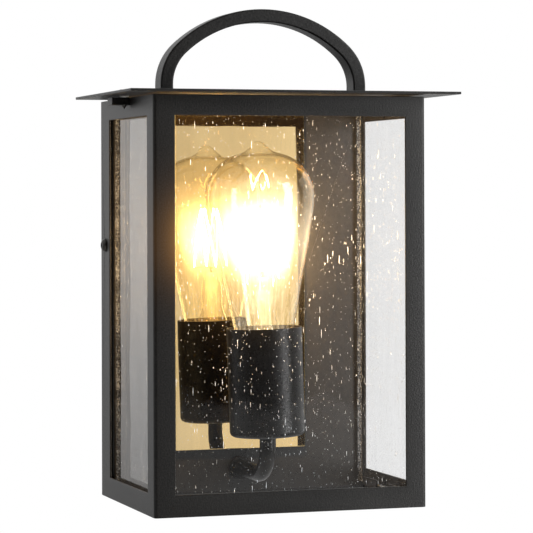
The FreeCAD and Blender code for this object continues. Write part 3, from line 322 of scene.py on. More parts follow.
class Board:
    """Drawing board for one material's nodes."""

    def __init__(self, name: str) -> None:
        """Start an empty material of that name with its output."""
        self.material = bpy.data.materials.new(name)
        self.material.use_nodes = True
        self.tree = self.material.node_tree
        self.tree.nodes.clear()
        self.output = self.tree.nodes.new("ShaderNodeOutputMaterial")

    def add(self, kind: str, settings: Optional[dict] = None, **sockets: object) -> bpy.types.Node:
        """Add a node, set its properties, and set or join its input sockets by name.

        Args:
            kind: node type without the ShaderNode prefix.
            settings: properties of the node.
            **sockets: values or output sockets; an underscore stands for a space, and n0, n1 are numbers.

        Returns:
            The node.
        """
        node = self.tree.nodes.new("ShaderNode" + kind)
        for key, value in (settings or {}).items():
            setattr(node, key, value)
        for key, value in sockets.items():
            numbered = key[0] == "n" and key[1:].isdigit()
            socket = node.inputs[int(key[1:]) if numbered else key.replace("_", " ")]
            if isinstance(value, Socket):
                self.tree.links.new(value, socket)
            else:
                socket.default_value = value
        return node

    def place(self, stretch: Sequence[float] = (1, 1, 1)) -> Socket:
        """Object coordinates, stretched along the axes."""
        source = self.add("TexCoord").outputs["Object"]
        return self.add("Mapping", Vector=source, Scale=tuple(stretch)).outputs["Vector"]

    def noise(self, scale: float, detail: float = 3.0, stretch: Sequence[float] = (1, 1, 1),
              rough: float = 0.5) -> Socket:
        """Grey noise of a given fineness per metre."""
        node = self.add("TexNoise", Vector=self.place(stretch), Scale=scale, Detail=detail, Roughness=rough)
        return node.outputs["Fac"]

    def cells(self, scale: float, stretch: Sequence[float] = (1, 1, 1)) -> Socket:
        """Distance to the nearest of scattered points."""
        return self.add("TexVoronoi", Vector=self.place(stretch), Scale=scale).outputs["Distance"]

    def ramp(self, value: Socket, stops: Sequence[tuple[float, Sequence[float]]]) -> Socket:
        """Colour ramp through (position, colour) stops."""
        node = self.add("ValToRGB", Fac=value)
        elements = node.color_ramp.elements
        while len(elements) < len(stops):
            elements.new(0.5)
        for element, (where, colour) in zip(elements, stops):
            element.position = where
            element.color = (*colour, 1.0)
        return node.outputs["Color"]

    def level(self, value: Socket, low: float, high: float, start: float, stop: float) -> Socket:
        """Map a value from start..stop to low..high, held at the ends."""
        return self.add("MapRange", Value=value, n1=start, n2=stop, n3=low, n4=high).outputs["Result"]

    def bump(self, height: Socket, depth: float, strength: float,
             under: Optional[Socket] = None) -> Socket:
        """Bump of a depth in metres, over another bump if given."""
        sockets = {"Height": height, "Distance": depth, "Strength": strength}
        if under is not None:
            sockets["Normal"] = under
        return self.add("Bump", **sockets).outputs["Normal"]

    def math(self, operation: str, *values: object) -> Socket:
        """One step of arithmetic."""
        sockets = {f"n{index}": value for index, value in enumerate(values)}
        return self.add("Math", {"operation": operation}, **sockets).outputs["Value"]

    def blend(self, share: Socket | float, first: bpy.types.Node, second: bpy.types.Node) -> bpy.types.Node:
        """Mix two shaders, with a share of the second."""
        return self.add("MixShader", n0=share, n1=first.outputs[0], n2=second.outputs[0])

    def gleam(self, head_on: float) -> Socket:
        """Share of light that a clear face mirrors: f + (1 - f)(1 - |cos|)^5 for its head-on share f."""
        facing = self.add("LayerWeight", Blend=0.5).outputs["Facing"]
        return self.math("MULTIPLY_ADD", self.math("POWER", facing, 5.0), 1.0 - head_on, head_on)

    def close(self, shader: bpy.types.Node) -> Material:
        """Join the finished shader to the output."""
        self.tree.links.new(shader.outputs[0], self.output.inputs["Surface"])
        return self.material


@dataclass(frozen=True)
class PowderCoat:
    """Black powder coat with the fine orange-peel grain of a baked texture paint."""

    name: str = "powder_coat"
    dark: Colour = (0.0022, 0.0020, 0.0018)
    light: Colour = (0.0120, 0.0110, 0.0100)
    grain: float = 1000.0
    depth: float = 0.00016
    roughness: float = 0.36
    specular: float = 0.26

    def build(self) -> Material:
        """Return the material."""
        board = Board(self.name)
        grain = board.noise(self.grain, 3.0, rough=0.6)
        fine = board.noise(self.grain * 2.9, 2.0)
        cloud = board.noise(28.0, 3.0)
        mix = board.math("ADD", board.math("MULTIPLY", grain, 0.7), board.math("MULTIPLY", cloud, 0.3))
        colour = board.ramp(mix, [(0.38, self.dark), (0.62, self.light)])
        rough = board.level(fine, self.roughness - 0.07, self.roughness + 0.12, 0.3, 0.7)
        normal = board.bump(fine, self.depth * 0.25, 0.5, board.bump(grain, self.depth, 0.8))
        shader = board.add("BsdfPrincipled", Base_Color=colour, Roughness=rough, Normal=normal,
                           Specular_IOR_Level=self.specular)
        return board.close(shader)


@dataclass(frozen=True)
class Metal:
    """Bare or plated metal with faint cloudiness and a fine grain."""

    name: str
    colour: Colour
    roughness: float = 0.3
    cloud: float = 60.0
    contrast: float = 0.2
    depth: float = 0.00001

    def build(self) -> Material:
        """Return the material."""
        board = Board(self.name)
        cloud = board.noise(self.cloud, 4.0)
        fine = board.noise(self.cloud * 18.0, 3.0)
        dull = tuple(c * (1.0 - self.contrast) for c in self.colour)
        colour = board.ramp(cloud, [(0.3, dull), (0.7, self.colour)])
        rough = board.level(fine, self.roughness * 0.75, min(self.roughness * 1.35, 1.0), 0.3, 0.7)
        normal = board.bump(fine, self.depth, 0.6)
        shader = board.add("BsdfPrincipled", Base_Color=colour, Roughness=rough, Normal=normal, Metallic=1.0)
        return board.close(shader)


@dataclass(frozen=True)
class Moulded:
    """Moulded plastic, glazed ceramic or foam: a base colour with mottling and a fine surface."""

    name: str
    colour: Colour
    roughness: float = 0.45
    mottling: float = 0.15
    grain: float = 700.0
    depth: float = 0.00003
    coat: float = 0.0

    def build(self) -> Material:
        """Return the material."""
        board = Board(self.name)
        cloud = board.noise(45.0, 3.0)
        grain = board.noise(self.grain, 3.0)
        dull = tuple(c * (1.0 - self.mottling) for c in self.colour)
        colour = board.ramp(board.math("MULTIPLY_ADD", grain, 0.35, board.math("MULTIPLY", cloud, 0.65)),
                            [(0.3, dull), (0.68, self.colour)])
        rough = board.level(grain, self.roughness * 0.85, min(self.roughness * 1.2, 1.0), 0.3, 0.7)
        shader = board.add("BsdfPrincipled", Base_Color=colour, Roughness=rough,
                           Normal=board.bump(grain, self.depth, 0.7), Coat_Weight=self.coat,
                           Coat_Roughness=0.06)
        return board.close(shader)


@dataclass(frozen=True)
class SeededGlass:
    """Face of a clear pane: it passes light straight and mirrors more the flatter one looks at it."""

    name: str = "pane_face"
    tint: Colour = (0.999, 1.0, 1.0)
    head_on: float = 0.016
    wave: float = 0.00035

    def build(self) -> Material:
        """Return the material."""
        board = Board(self.name)
        slow = board.noise(26.0, 2.0, (1.0, 1.0, 0.35))
        streak = board.noise(420.0, 2.0, (1.0, 1.0, 0.05))
        pits = board.cells(260.0, (1.0, 1.0, 0.4))
        normal = board.bump(pits, 0.00003, 0.25, board.bump(slow, self.wave, 0.35))
        film = board.ramp(streak, [(0.35, tuple(c * 0.985 for c in self.tint)), (0.65, self.tint)])
        clear = board.add("BsdfTransparent", Color=film)
        gloss = board.add("BsdfGlossy", Color=WHITE, Roughness=0.015, Normal=normal)
        mixed = board.blend(board.gleam(self.head_on), clear, gloss)
        return board.close(mixed)


@dataclass(frozen=True)
class CutEdge:
    """Cut and arrissed glass edge, faintly green and glittering in chips. Edges lying farther out than outer
    in x (the side panes') are painted pale as painted light carried along the glass; edges nearer the middle
    (the front pane's) are painted near black as painted shade.
    """

    name: str = "pane_cut_edge_painted_light"
    # Painted light and shade: pale is painted light for the side panes' edges, deep is painted shade for the
    # front pane's edges.
    pale: Colour = (0.90, 0.93, 0.95)
    deep: Colour = (0.022, 0.022, 0.022)
    outer: float = 78.0 * MM
    fade: float = 0.3 * MM

    def build(self) -> Material:
        """Return the material."""
        board = Board(self.name)
        chips = board.cells(900.0)
        cloud = board.noise(160.0, 3.0)
        # Painted light and shade by place: this mask rises beyond outer in x, so the side panes' edges are
        # painted pale and the front pane's edges stay near black.
        source = board.add("TexCoord").outputs["Object"]
        out = board.math("ABSOLUTE", board.add("SeparateXYZ", Vector=source).outputs["X"])
        arris = board.level(out, 0.0, 0.75, self.outer - self.fade, self.outer + self.fade)
        speck = board.math("MULTIPLY_ADD", chips, 0.30, board.math("MULTIPLY", cloud, 0.25))
        colour = board.ramp(board.math("ADD", arris, speck), [(0.25, self.deep), (0.95, self.pale)])
        normal = board.bump(chips, 0.0003, 0.8)
        body = board.add("BsdfPrincipled", Base_Color=colour, Roughness=0.22, Normal=normal,
                         Transmission_Weight=0.25)
        glow = board.add("BsdfTranslucent", Color=colour, Normal=normal)
        mixed = board.blend(0.4, body, glow)
        return board.close(mixed)


@dataclass(frozen=True)
class SeedBubble:
    """Air seed trapped in glass: a pale painted glint, matt and translucent, that catches light from every
    side, under a real gloss and partly see-through.
    """

    name: str = "glass_seed"
    colour: Colour = (0.90, 0.95, 1.0)
    clear_low: float = 0.05
    clear_high: float = 0.62

    def build(self) -> Material:
        """Return the material."""
        board = Board(self.name)
        spread = board.noise(300.0, 2.0)
        # Pale tone painted on as glint, standing in for the bright reflections of a clear bubble.
        tone = board.ramp(spread, [(0.3, tuple(c * 0.75 for c in self.colour)), (0.7, self.colour)])
        painted_glint = board.add("BsdfDiffuse", Color=tone)
        glow = board.add("BsdfTranslucent", Color=tone)
        clear = board.add("BsdfTransparent", Color=WHITE)
        gloss = board.add("BsdfGlossy", Color=WHITE, Roughness=0.12)
        lit = board.blend(0.6, painted_glint, glow)
        shiny = board.blend(0.35, lit, gloss)
        thin = board.level(spread, self.clear_low, self.clear_high, 0.35, 0.65)
        mixed = board.blend(thin, shiny, clear)
        return board.close(mixed)


@dataclass(frozen=True)
class GoldMirror:
    """Bronze-gold mirror plate, very slightly rolling, with its greenish edge."""

    name: str = "gold_mirror"
    colour: Colour = (0.84, 0.62, 0.31)
    shade: Colour = (0.76, 0.54, 0.25)
    edge: Colour = (0.22, 0.20, 0.10)

    def build(self) -> Material:
        """Return the material."""
        board = Board(self.name)
        cloud = board.noise(14.0, 2.0)
        colour = board.ramp(cloud, [(0.35, self.shade), (0.65, self.colour)])
        wave = board.bump(board.noise(30.0, 1.0, (1.0, 1.0, 0.35)), 0.0006, 0.5)
        smear = board.level(board.noise(55.0, 4.0), 0.012, 0.05, 0.35, 0.75)
        plate = board.add("BsdfPrincipled", Base_Color=colour, Metallic=1.0, Roughness=smear, Normal=wave)
        chips = board.bump(board.cells(700.0), 0.0002, 0.6)
        rim = board.add("BsdfPrincipled", Base_Color=(*self.edge, 1.0), Roughness=0.2, Normal=chips)
        facing = board.add("NewGeometry").outputs["True Normal"]
        across = board.math("ABSOLUTE", board.add("SeparateXYZ", Vector=facing).outputs["Y"])
        is_face = board.level(across, 0.0, 1.0, 0.55, 0.8)
        mixed = board.blend(is_face, rim, plate)
        return board.close(mixed)


@dataclass(frozen=True)
class LitGlass:
    """Lamp glass lit from within, deeper in colour where one looks along its wall.

    The glow is painted on the glass as emission: a bell exp(-a^2) of the height a from the filament, over a
    wider faint one, with pale painted glow in thin upright streak marks below it. The bell also fades where
    one looks along the wall, so it turns with the eye.
    """

    name: str
    middle: Colour
    rim: Colour
    glow: Colour
    strength: float
    base: Vector
    axis: Vector
    centre: float
    reach: float
    glow_haze: float = 0.1
    head_on: float = 0.035
    streak_glow: float = 0.16

    def build(self) -> Material:
        """Return the material."""
        board = Board(self.name)
        wave = board.bump(board.noise(70.0, 1.0, (1.0, 1.0, 0.4)), 0.0004, 0.18)
        edge = board.add("LayerWeight", Blend=0.35).outputs["Facing"]
        tint = board.ramp(edge, [(0.0, self.middle), (0.72, self.middle), (0.98, self.rim)])
        clear = board.add("BsdfTransparent", Color=tint)
        gloss = board.add("BsdfGlossy", Color=(1.0, 0.97, 0.9, 1.0), Roughness=0.01, Normal=wave)
        glass = board.blend(board.gleam(self.head_on), clear, gloss)
        # Painted glow: emission on the glass in a bell round the filament's height, over a wider faint glow,
        # made uneven and fading where one looks along the wall.
        source = board.add("TexCoord").outputs["Object"]
        apart = board.add("VectorMath", {"operation": "SUBTRACT"}, n0=source, n1=tuple(self.base))
        upright = board.add("VectorMath", {"operation": "DOT_PRODUCT"}, n0=apart.outputs[0],
                            n1=tuple(self.axis))
        along = upright.outputs["Value"]
        away = board.math("DIVIDE", board.math("SUBTRACT", along, self.centre), self.reach)
        square = board.math("MULTIPLY", away, away)
        band = board.math("EXPONENT", board.math("MULTIPLY", square, -1.0))
        glow_haze = board.math("EXPONENT", board.math("MULTIPLY", square, -0.16))
        bell = board.math("MULTIPLY_ADD", glow_haze, self.glow_haze, band)
        uneven = board.level(board.noise(120.0, 2.0, (1.0, 1.0, 0.3)), 0.8, 1.15, 0.3, 0.7)
        ahead = board.level(edge, 1.0, 0.10, 0.03, 0.26)
        body = board.math("MULTIPLY", board.math("MULTIPLY", bell, uneven), ahead)
        # Painted reflections: pale emission in thin upright streak marks below the bell.
        streak = board.level(board.noise(760.0, 2.0, (1.0, 1.0, 0.02)), 0.0, self.streak_glow, 0.5, 0.68)
        below = board.level(along, 1.0, 0.0, self.centre - 2.2 * self.reach, self.centre - 0.9 * self.reach)
        power = board.math("ADD", board.math("MULTIPLY", streak, below),
                           board.math("MULTIPLY", body, self.strength))
        light = board.add("Emission", Color=(*self.glow, 1.0), Strength=power)
        total = board.add("AddShader", n0=glass.outputs[0], n1=light.outputs[0])
        return board.close(total)


@dataclass(frozen=True)
class HotWire:
    """Glowing filament wire, a little uneven along its length."""

    name: str = "filament_glow"
    colour: Colour = (1.0, 0.62, 0.26)
    strength: float = 300.0

    def build(self) -> Material:
        """Return the material."""
        board = Board(self.name)
        flicker = board.level(board.noise(260.0, 2.0), self.strength * 0.7, self.strength * 1.3, 0.3, 0.7)
        light = board.add("Emission", Color=(*self.colour, 1.0), Strength=flicker)
        return board.close(light)


# --- lantern ------------------------------------------------------------------------------------------


class Wall(Enum):
    """The three glazed walls of the lantern: node and axis of the pane's normal."""

    FRONT = ("front_glass", 1)
    LEFT = ("left_glass", 0)
    RIGHT = ("right_glass", 0)


def made(finish: object) -> Material:
    """Field of a dataclass whose material is built along with the set."""
    return field(default_factory=finish.build)


@dataclass
class Finishes:
    """All the materials, built once and shared."""

    coat: Material = made(PowderCoat())
    satin: Material = made(PowderCoat(
        "satin_coat", (0.0030, 0.0027, 0.0024), (0.0065, 0.0058, 0.0050), 420.0, 0.00002, 0.32, 0.20))
    pan_coat: Material = made(PowderCoat(
        "pan_coat", (0.0060, 0.0056, 0.0052), (0.0105, 0.0098, 0.0090), 420.0, 0.00002, 0.40, 0.30))
    screw: Material = made(Metal("blackened_screw", (0.055, 0.053, 0.05), 0.34, 140.0, 0.4))
    zinc: Material = made(Metal("zinc_plate", (0.62, 0.63, 0.64), 0.32, 130.0, 0.35))
    green: Material = made(Metal("green_passivated", (0.10, 0.30, 0.12), 0.3, 150.0, 0.3))
    brass: Material = made(Metal("brass", (0.83, 0.62, 0.27), 0.24, 90.0, 0.25))
    solder: Material = made(Metal("solder", (0.66, 0.66, 0.68), 0.38, 220.0, 0.3, 0.00004))
    support: Material = made(Metal("molybdenum_wire", (0.45, 0.43, 0.42), 0.28, 300.0, 0.3))
    mirror: Material = made(GoldMirror())
    pane: Material = made(SeededGlass())
    cut: Material = made(CutEdge())
    # Seeds carry a painted glint; the side panes' seeds are a fainter, clearer copy of the same painted
    # glint.
    seed: Material = made(SeedBubble())
    faint_glint_seed: Material = made(SeedBubble("faint_glass_seed", (0.8, 0.86, 0.9), 0.72, 0.93))
    tape: Material = made(Moulded("foam_tape", (0.05, 0.05, 0.05), 0.9, 0.4, 1400.0, 0.0002))
    nylon: Material = made(Moulded("nylon", (0.72, 0.71, 0.66), 0.42, 0.12))
    ceramic: Material = made(Moulded(
        "glazed_ceramic", (0.80, 0.78, 0.73), 0.3, 0.08, 500.0, 0.00003, 0.6))
    black_wire: Material = made(Moulded("black_lead", (0.018, 0.018, 0.018), 0.38, 0.2))
    white_wire: Material = made(Moulded("white_lead", (0.70, 0.70, 0.68), 0.38, 0.12))
    vitrite: Material = made(Moulded(
        "black_vitrite", (0.012, 0.012, 0.014), 0.12, 0.3, 300.0, 0.00002, 0.8))


@dataclass
class LanternBody:
    """Folded cage, back pan, lugs and tabs."""

    finishes: Finishes
    fold: float = 0.35 * MM

    def build(self) -> None:
        """Round the sheet edges and coat them."""
        coat = self.finishes.coat
        for node, name, finish in (
            ("cage", "cage_sheet", coat),
            ("back_pan", "pan_sheet", self.finishes.pan_coat),
            ("lug_left", "lug_block_left", coat),
            ("lug_right", "lug_block_right", coat),
        ):
            rides(softened(node, name, self.fold, finish), "lantern", "black_coat", node)
        for node in ("front_glass_tabs", "left_glass_tabs", "right_glass_tabs"):
            dress(node, coat)
        for node in ("socket_arm", "arm_collar", "cup_washer"):
            dress(node, self.finishes.satin)
        dress("roof_spacers", self.finishes.nylon)
        dress("side_nuts", self.finishes.zinc)
        dress("arm_locknut", self.finishes.zinc)
        dress("cup_nut", self.finishes.zinc)


def dress(node: str, finish: Material) -> None:
    """Give a CAD node its detailed finish in every one of its slots."""
    thing = frame["nodes"][node]
    if not thing.material_slots:
        thing.data.materials.append(finish)
    for slot in thing.material_slots:
        slot.link = "OBJECT"
        slot.material = finish


@dataclass
class Windows:
    """Three panes of seeded glass with cut edges.

    The seeds' half-widths (usual, least, most) are in millimetres and scatter is the spread of their
    logarithm; all the other lengths are in metres, and per_square counts seeds per square metre.
    """

    finishes: Finishes
    arris: float = 0.45 * MM
    ripple: float = 0.10 * MM
    nick: float = 0.35 * MM
    rows: int = 120
    columns: int = 56
    per_square: float = 80000.0
    usual: float = 0.105
    scatter: float = 0.38
    least: float = 0.06
    most: float = 0.27
    drawn_stretch: float = 4.0
    round_stretch: float = 0.4
    drawn_share: float = 0.42
    longest: float = 2.6 * MM
    margin: float = 3.0 * MM
    margin_end: float = 3.5 * MM
    margin_face: float = 0.75 * MM
    seed: int = 41

    def build(self) -> None:
        """Make the three panes."""
        for number, wall in enumerate(Wall):
            node, axis = wall.value
            rng = np.random.default_rng(self.seed + number)
            low, high = (np.array(corner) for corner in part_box(node))
            surfaces = self.shell(low, high, axis, rng) + [self.bubbles(low, high, axis, rng)]
            name = node.replace("glass", "pane")
            # Front-pane seeds get the brighter painted glint, side-pane seeds the fainter copy.
            bubble = self.finishes.seed if wall is Wall.FRONT else self.finishes.faint_glint_seed
            thing = piece(name, surfaces, [self.finishes.pane, self.finishes.cut, bubble])
            rides(thing, "lantern", "seeded_glass", node)

    def shell(self, low: np.ndarray, high: np.ndarray, axis: int, rng: np.random.Generator) -> list[Surface]:
        """Two rippling faces and a cut edge between them.

        Over the pane's width u and height v each face sinks from the box by a small sum of cosines of u
        and v. The outline is the box's rectangle, moved in by a nicked arris; the edge is carried from
        one face's outline to the other over three rows that stand out towards the box.

        Args:
            low: lowest corner of the pane.
            high: highest corner.
            axis: 0 or 1, the direction of the pane's normal.
            rng: source of the nicks and ripples.

        Returns:
            The faces and the edge.
        """
        across = 1 - axis
        u = np.linspace(0, 1, self.columns)[:, None]
        v = np.linspace(0, 1, self.rows)[None, :]
        size_u, size_v = high[across] - low[across], high[2] - low[2]

        def nicks(count: int) -> np.ndarray:
            """Inset of the outline at each of its points."""
            rough = rng.random(count)
            return self.arris + self.nick * rough**3

        left, right = nicks(self.rows)[None, :], nicks(self.rows)[None, :]
        foot, head = nicks(self.columns)[:, None], nicks(self.columns)[:, None]
        place_u = low[across] + left + (size_u - left - right) * u + 0 * v
        place_v = low[2] + foot + (size_v - foot - head) * v + 0 * u
        surfaces = []
        outlines = []
        for side in (-1, 1):
            phase = rng.random((4, 2)) * TURN
            turns = rng.uniform(1.0, 4.0, (4, 2))
            sink = sum(
                np.cos(TURN * turns[k, 0] * u + phase[k, 0]) * np.cos(TURN * turns[k, 1] * v + phase[k, 1])
                for k in range(4)
            )
            depth = self.ripple * (0.5 + sink / 8)
            edge_fade = np.minimum(np.minimum(u, 1 - u) * 12, 1) * np.minimum(np.minimum(v, 1 - v) * 20, 1)
            depth = depth * edge_fade
            face = (low if side < 0 else high)[axis] - side * depth
            grid = np.zeros((self.columns, self.rows, 3))
            grid[..., across], grid[..., axis], grid[..., 2] = place_u, face, place_v
            faces = grid_faces(self.columns, self.rows)
            patch = Surface(grid.reshape(-1, 3), [faces], 0, True)
            flip = (side > 0) == (axis == 0)
            surfaces.append(patch if not flip else patch.inside_out())
            outlines.append(np.vstack([grid[:, 0], grid[-1, 1:], grid[-2::-1, -1], grid[0, -2:0:-1]]))
        middle = (outlines[0] + outlines[1]) / 2
        reach = np.zeros_like(middle)
        centre = (low + high) / 2
        for k, size in ((across, size_u), (2, size_v)):
            near = np.abs(middle[:, k] - centre[k]) > size / 2 - self.arris - self.nick * 1.01
            reach[:, k] = np.where(near, np.sign(middle[:, k] - centre[k]) * self.arris * 0.8, 0.0)
        thick = outlines[1] - outlines[0]
        rows = [outlines[0], outlines[0] + thick * 0.14 + reach, outlines[0] + thick * 0.5 + reach * 1.05,
                outlines[0] + thick * 0.86 + reach, outlines[1]]
        edge = Surface(np.vstack(rows), [grid_faces(len(rows), len(middle), close_columns=True)], 1, False)
        surfaces.append(edge if axis == 0 else edge.inside_out())
        return surfaces

    def bubbles(self, low: np.ndarray, high: np.ndarray, axis: int, rng: np.random.Generator) -> Surface:
        """Seeds spread over the pane: most are round, some are drawn into upright streaks.

        Widths follow a log-normal spread, heights are the width times a stretch that is one plus an
        exponential, and centres are even over the pane, kept inside its faces.

        Args:
            low: lowest corner of the pane.
            high: highest corner.
            axis: direction of the pane's normal.
            rng: source of the spread.

        Returns:
            The seeds' surface.
        """
        across = 1 - axis
        area = (high[across] - low[across]) * (high[2] - low[2])
        count = int(area * self.per_square)
        size = np.exp(rng.normal(math.log(self.usual), self.scatter, count))
        width = np.clip(size, self.least, self.most) * MM
        drawn = rng.random(count) < self.drawn_share
        stretch = 1.0 + np.where(drawn, rng.exponential(self.drawn_stretch, count),
                                 rng.exponential(self.round_stretch, count))
        half = np.zeros((count, 3))
        half[:, across] = width
        half[:, axis] = width * 0.8
        half[:, 2] = np.minimum(width * stretch, self.longest)
        margin = np.array([self.margin, self.margin, self.margin_end])
        margin[axis] = self.margin_face
        centres = low + margin + rng.random((count, 3)) * (high - low - 2 * margin)
        return seeds(centres, half, 2)


@dataclass
class Mirror:
    """Gold mirror plate and its tape."""

    finishes: Finishes

    def build(self) -> None:
        """Bevel the plate and dress the tape."""
        rides(softened("mirror_panel", "mirror_plate", 0.4 * MM, self.finishes.mirror, 1), "lantern",
              "gold_mirror", "mirror_panel")
        dress("mirror_tape", self.finishes.tape)


@dataclass
class Roof:
    """Roof plate, arched handle and their screws."""

    finishes: Finishes

    def build(self) -> None:
        """Round the plate and dress the rest."""
        rides(softened("roof_plate", "roof_sheet", 0.3 * MM, self.finishes.coat), "roof", "black_coat",
              "roof_plate")
        dress("handle_loop", self.finishes.coat)
        dress("handle_screws", self.finishes.screw)


@dataclass
class Fastenings:
    """Wall bracket and the screws that turn."""

    finishes: Finishes

    def build(self) -> None:
        """Dress the bracket and screws."""
        rides(softened("wall_bracket", "bracket_strip", 0.3 * MM, self.finishes.zinc), "wall_bracket",
              "zinc_steel", "wall_bracket")
        dress("ground_screw", self.finishes.green)
        for node in ("roof_screw_left", "roof_screw_right", "side_screw_left", "side_screw_right"):
            dress(node, self.finishes.screw)


@dataclass
class SocketParts:
    """Cup, ceramic holder, contacts, terminal block and leads."""

    finishes: Finishes

    def build(self) -> None:
        """Dress every part."""
        dress("socket_cup", self.finishes.satin)
        dress("lamp_holder", self.finishes.ceramic)
        for node in ("screw_shell", "centre_contact"):
            dress(node, self.finishes.brass)
        dress("terminal_block", self.finishes.nylon)
        dress("lead_live", self.finishes.black_wire)
        dress("lead_neutral", self.finishes.white_wire)


@dataclass
class Lamp:
    """Edison lamp: envelope, screw cap, stem, wires and filament, built upright and leant into place.

    Heights are along the lamp's own axis from the foot of the cup's washer.
    """

    finishes: Finishes
    neck: float = 14.2 * MM
    neck_foot: float = 60.0 * MM
    throat: float = 17.6 * MM
    throat_height: float = 64.2 * MM
    taper_end: float = 31.06 * MM
    taper_height: float = 131.5 * MM
    swell: float = 48.5 * MM
    belly: float = 32.0 * MM
    belly_height: float = 141.0 * MM
    dome: float = 25.5 * MM
    dome_end: float = 5.5 * MM
    dome_rise: float = 24.9 * MM
    flank: float = 13.0 * MM
    knob: float = 5.0 * MM
    knob_edge: float = 4.1 * MM
    knob_drop: float = 2.13 * MM
    tip: float = 173.2 * MM
    wall: float = 0.8 * MM
    cap_foot: float = 36.0 * MM
    cap_top: float = 59.0 * MM
    cap_crest: float = 13.12 * MM
    cap_root: float = 12.5 * MM
    pitch: float = 3.6 * MM
    stem_foot: float = 60.5 * MM
    stem_top: float = 94.2 * MM
    hub_top: float = 136.2 * MM
    upper_ring: float = 5.0 * MM
    lower_ring: float = 10.5 * MM
    runs: int = 8

    def __post_init__(self) -> None:
        """Read the lamp's axis from the joint that it turns about."""
        joint = next(j for j in frame["joints"] if j["name"] == "bulb_turn")
        self.base = Vector(joint["pos_m"])
        self.axis = Vector(joint["axis"]).normalized()
        turn = Vector((0, 0, 1)).rotation_difference(self.axis).to_matrix().to_4x4()
        stand = Matrix.Translation(self.base) @ turn
        self.stand = np.array(stand)[:3]

    def build(self) -> None:
        """Make the pieces."""
        # Both glasses carry a painted glow: emission round the filament's height, with pale painted streak
        # marks below it.
        glass = LitGlass("amber_lamp_glass", middle=(0.995, 0.975, 0.915), rim=(0.52, 0.36, 0.12),
                         glow=(1.0, 0.82, 0.58), strength=1.10, base=self.base, axis=self.axis,
                         centre=0.1165, reach=0.0155)
        stem = LitGlass("stem_glass", middle=(0.97, 0.95, 0.90), rim=(0.62, 0.52, 0.36),
                        glow=(1.0, 0.80, 0.5), strength=0.5, base=self.base, axis=self.axis,
                        centre=0.1032, reach=0.022, glow_haze=0.5)
        wire = HotWire()
        hot, amber, clear = wire.build(), glass.build(), stem.build()
        self.fit(self.envelope(), "lamp_envelope", amber, "amber_glass", "bulb_glass")
        self.fit(self.stem_surfaces(), "lamp_stem", clear, "clear_glass", "bulb_stem")
        self.fit(self.cap(), "lamp_cap", self.finishes.brass, "brass", "bulb_cap")
        self.fit(self.supports(), "support_wires", self.finishes.support, "support_wire", "bulb_supports")
        self.fit(self.filament(), "filament_wire", hot, "filament", "bulb_filament")
        dress("bulb_insulator", self.finishes.vitrite)
        dress("bulb_contact", self.finishes.solder)

    def fit(self, surfaces: list[Surface], name: str, finish: Material, slot: str, node: str) -> None:
        """Lean the surfaces onto the lamp's axis and let them ride on the bulb."""
        leant = [surface.moved(self.stand) for surface in surfaces]
        rides(piece(name, leant, [finish]), "bulb", slot, node)

    def outline(self, inset: float) -> tuple[np.ndarray, np.ndarray]:
        """Outline of the glass as tangent lines and arcs, moved in.

        From the neck a line opens to the throat and a straight taper follows; the swell and the dome are
        circles of radii 48.5 and 25.5 mm that meet upright at the belly; a hollow arc leads from the dome
        to the round knob. The inner wall ends in a shallow dome of its own.

        Args:
            inset: distance inwards, metres.

        Returns:
            Radii and heights from the neck up to the pole.
        """
        shrink = (self.dome - inset) / self.dome
        centre = self.belly - self.dome
        spots = np.array([
            (self.neck - inset, self.neck_foot),
            (self.throat - inset, self.throat_height),
            (self.taper_end - inset, self.taper_height),
            (self.belly - inset, self.belly_height),
            (centre + self.dome_end * shrink, self.belly_height + self.dome_rise * shrink),
        ])
        share = np.linspace(0, 1, 24)[:, None]
        parts = [
            spots[0] + (spots[1] - spots[0]) * share[::4],
            spots[1] + (spots[2] - spots[1]) * share,
            arc(spots[2], spots[3], self.swell - inset, True, 16),
            arc(spots[3], spots[4], self.dome - inset, True, 48),
        ]
        if inset > 0:
            drop = np.linspace(0, 1, 12)
            top = self.belly_height + self.dome - inset
            rise = spots[4, 1] + (top - spots[4, 1]) * drop**0.6
            parts.append(np.stack([spots[4, 0] * (1 - drop), rise], axis=-1))
        else:
            foot = (self.knob_edge, self.tip - self.knob_drop)
            parts.append(arc(spots[4], foot, self.flank, False, 20))
            parts.append(arc(foot, (0.0, self.tip), self.knob, True, 16))
        line = np.vstack([part[:-1] for part in parts[:-1]] + parts[-1:])
        line[-1, 0] = 0.0
        return line[:, 0], line[:, 1]

    def envelope(self) -> list[Surface]:
        """Outer and inner wall of the glass and the ring that joins them at the neck."""
        outer_r, outer_h = self.outline(0.0)
        inner_r, inner_h = self.outline(self.wall)
        radius = np.concatenate([outer_r, inner_r[::-1], outer_r[:1]])
        height = np.concatenate([outer_h, inner_h[::-1], outer_h[:1]])
        return [turned(radius, height, 128)]

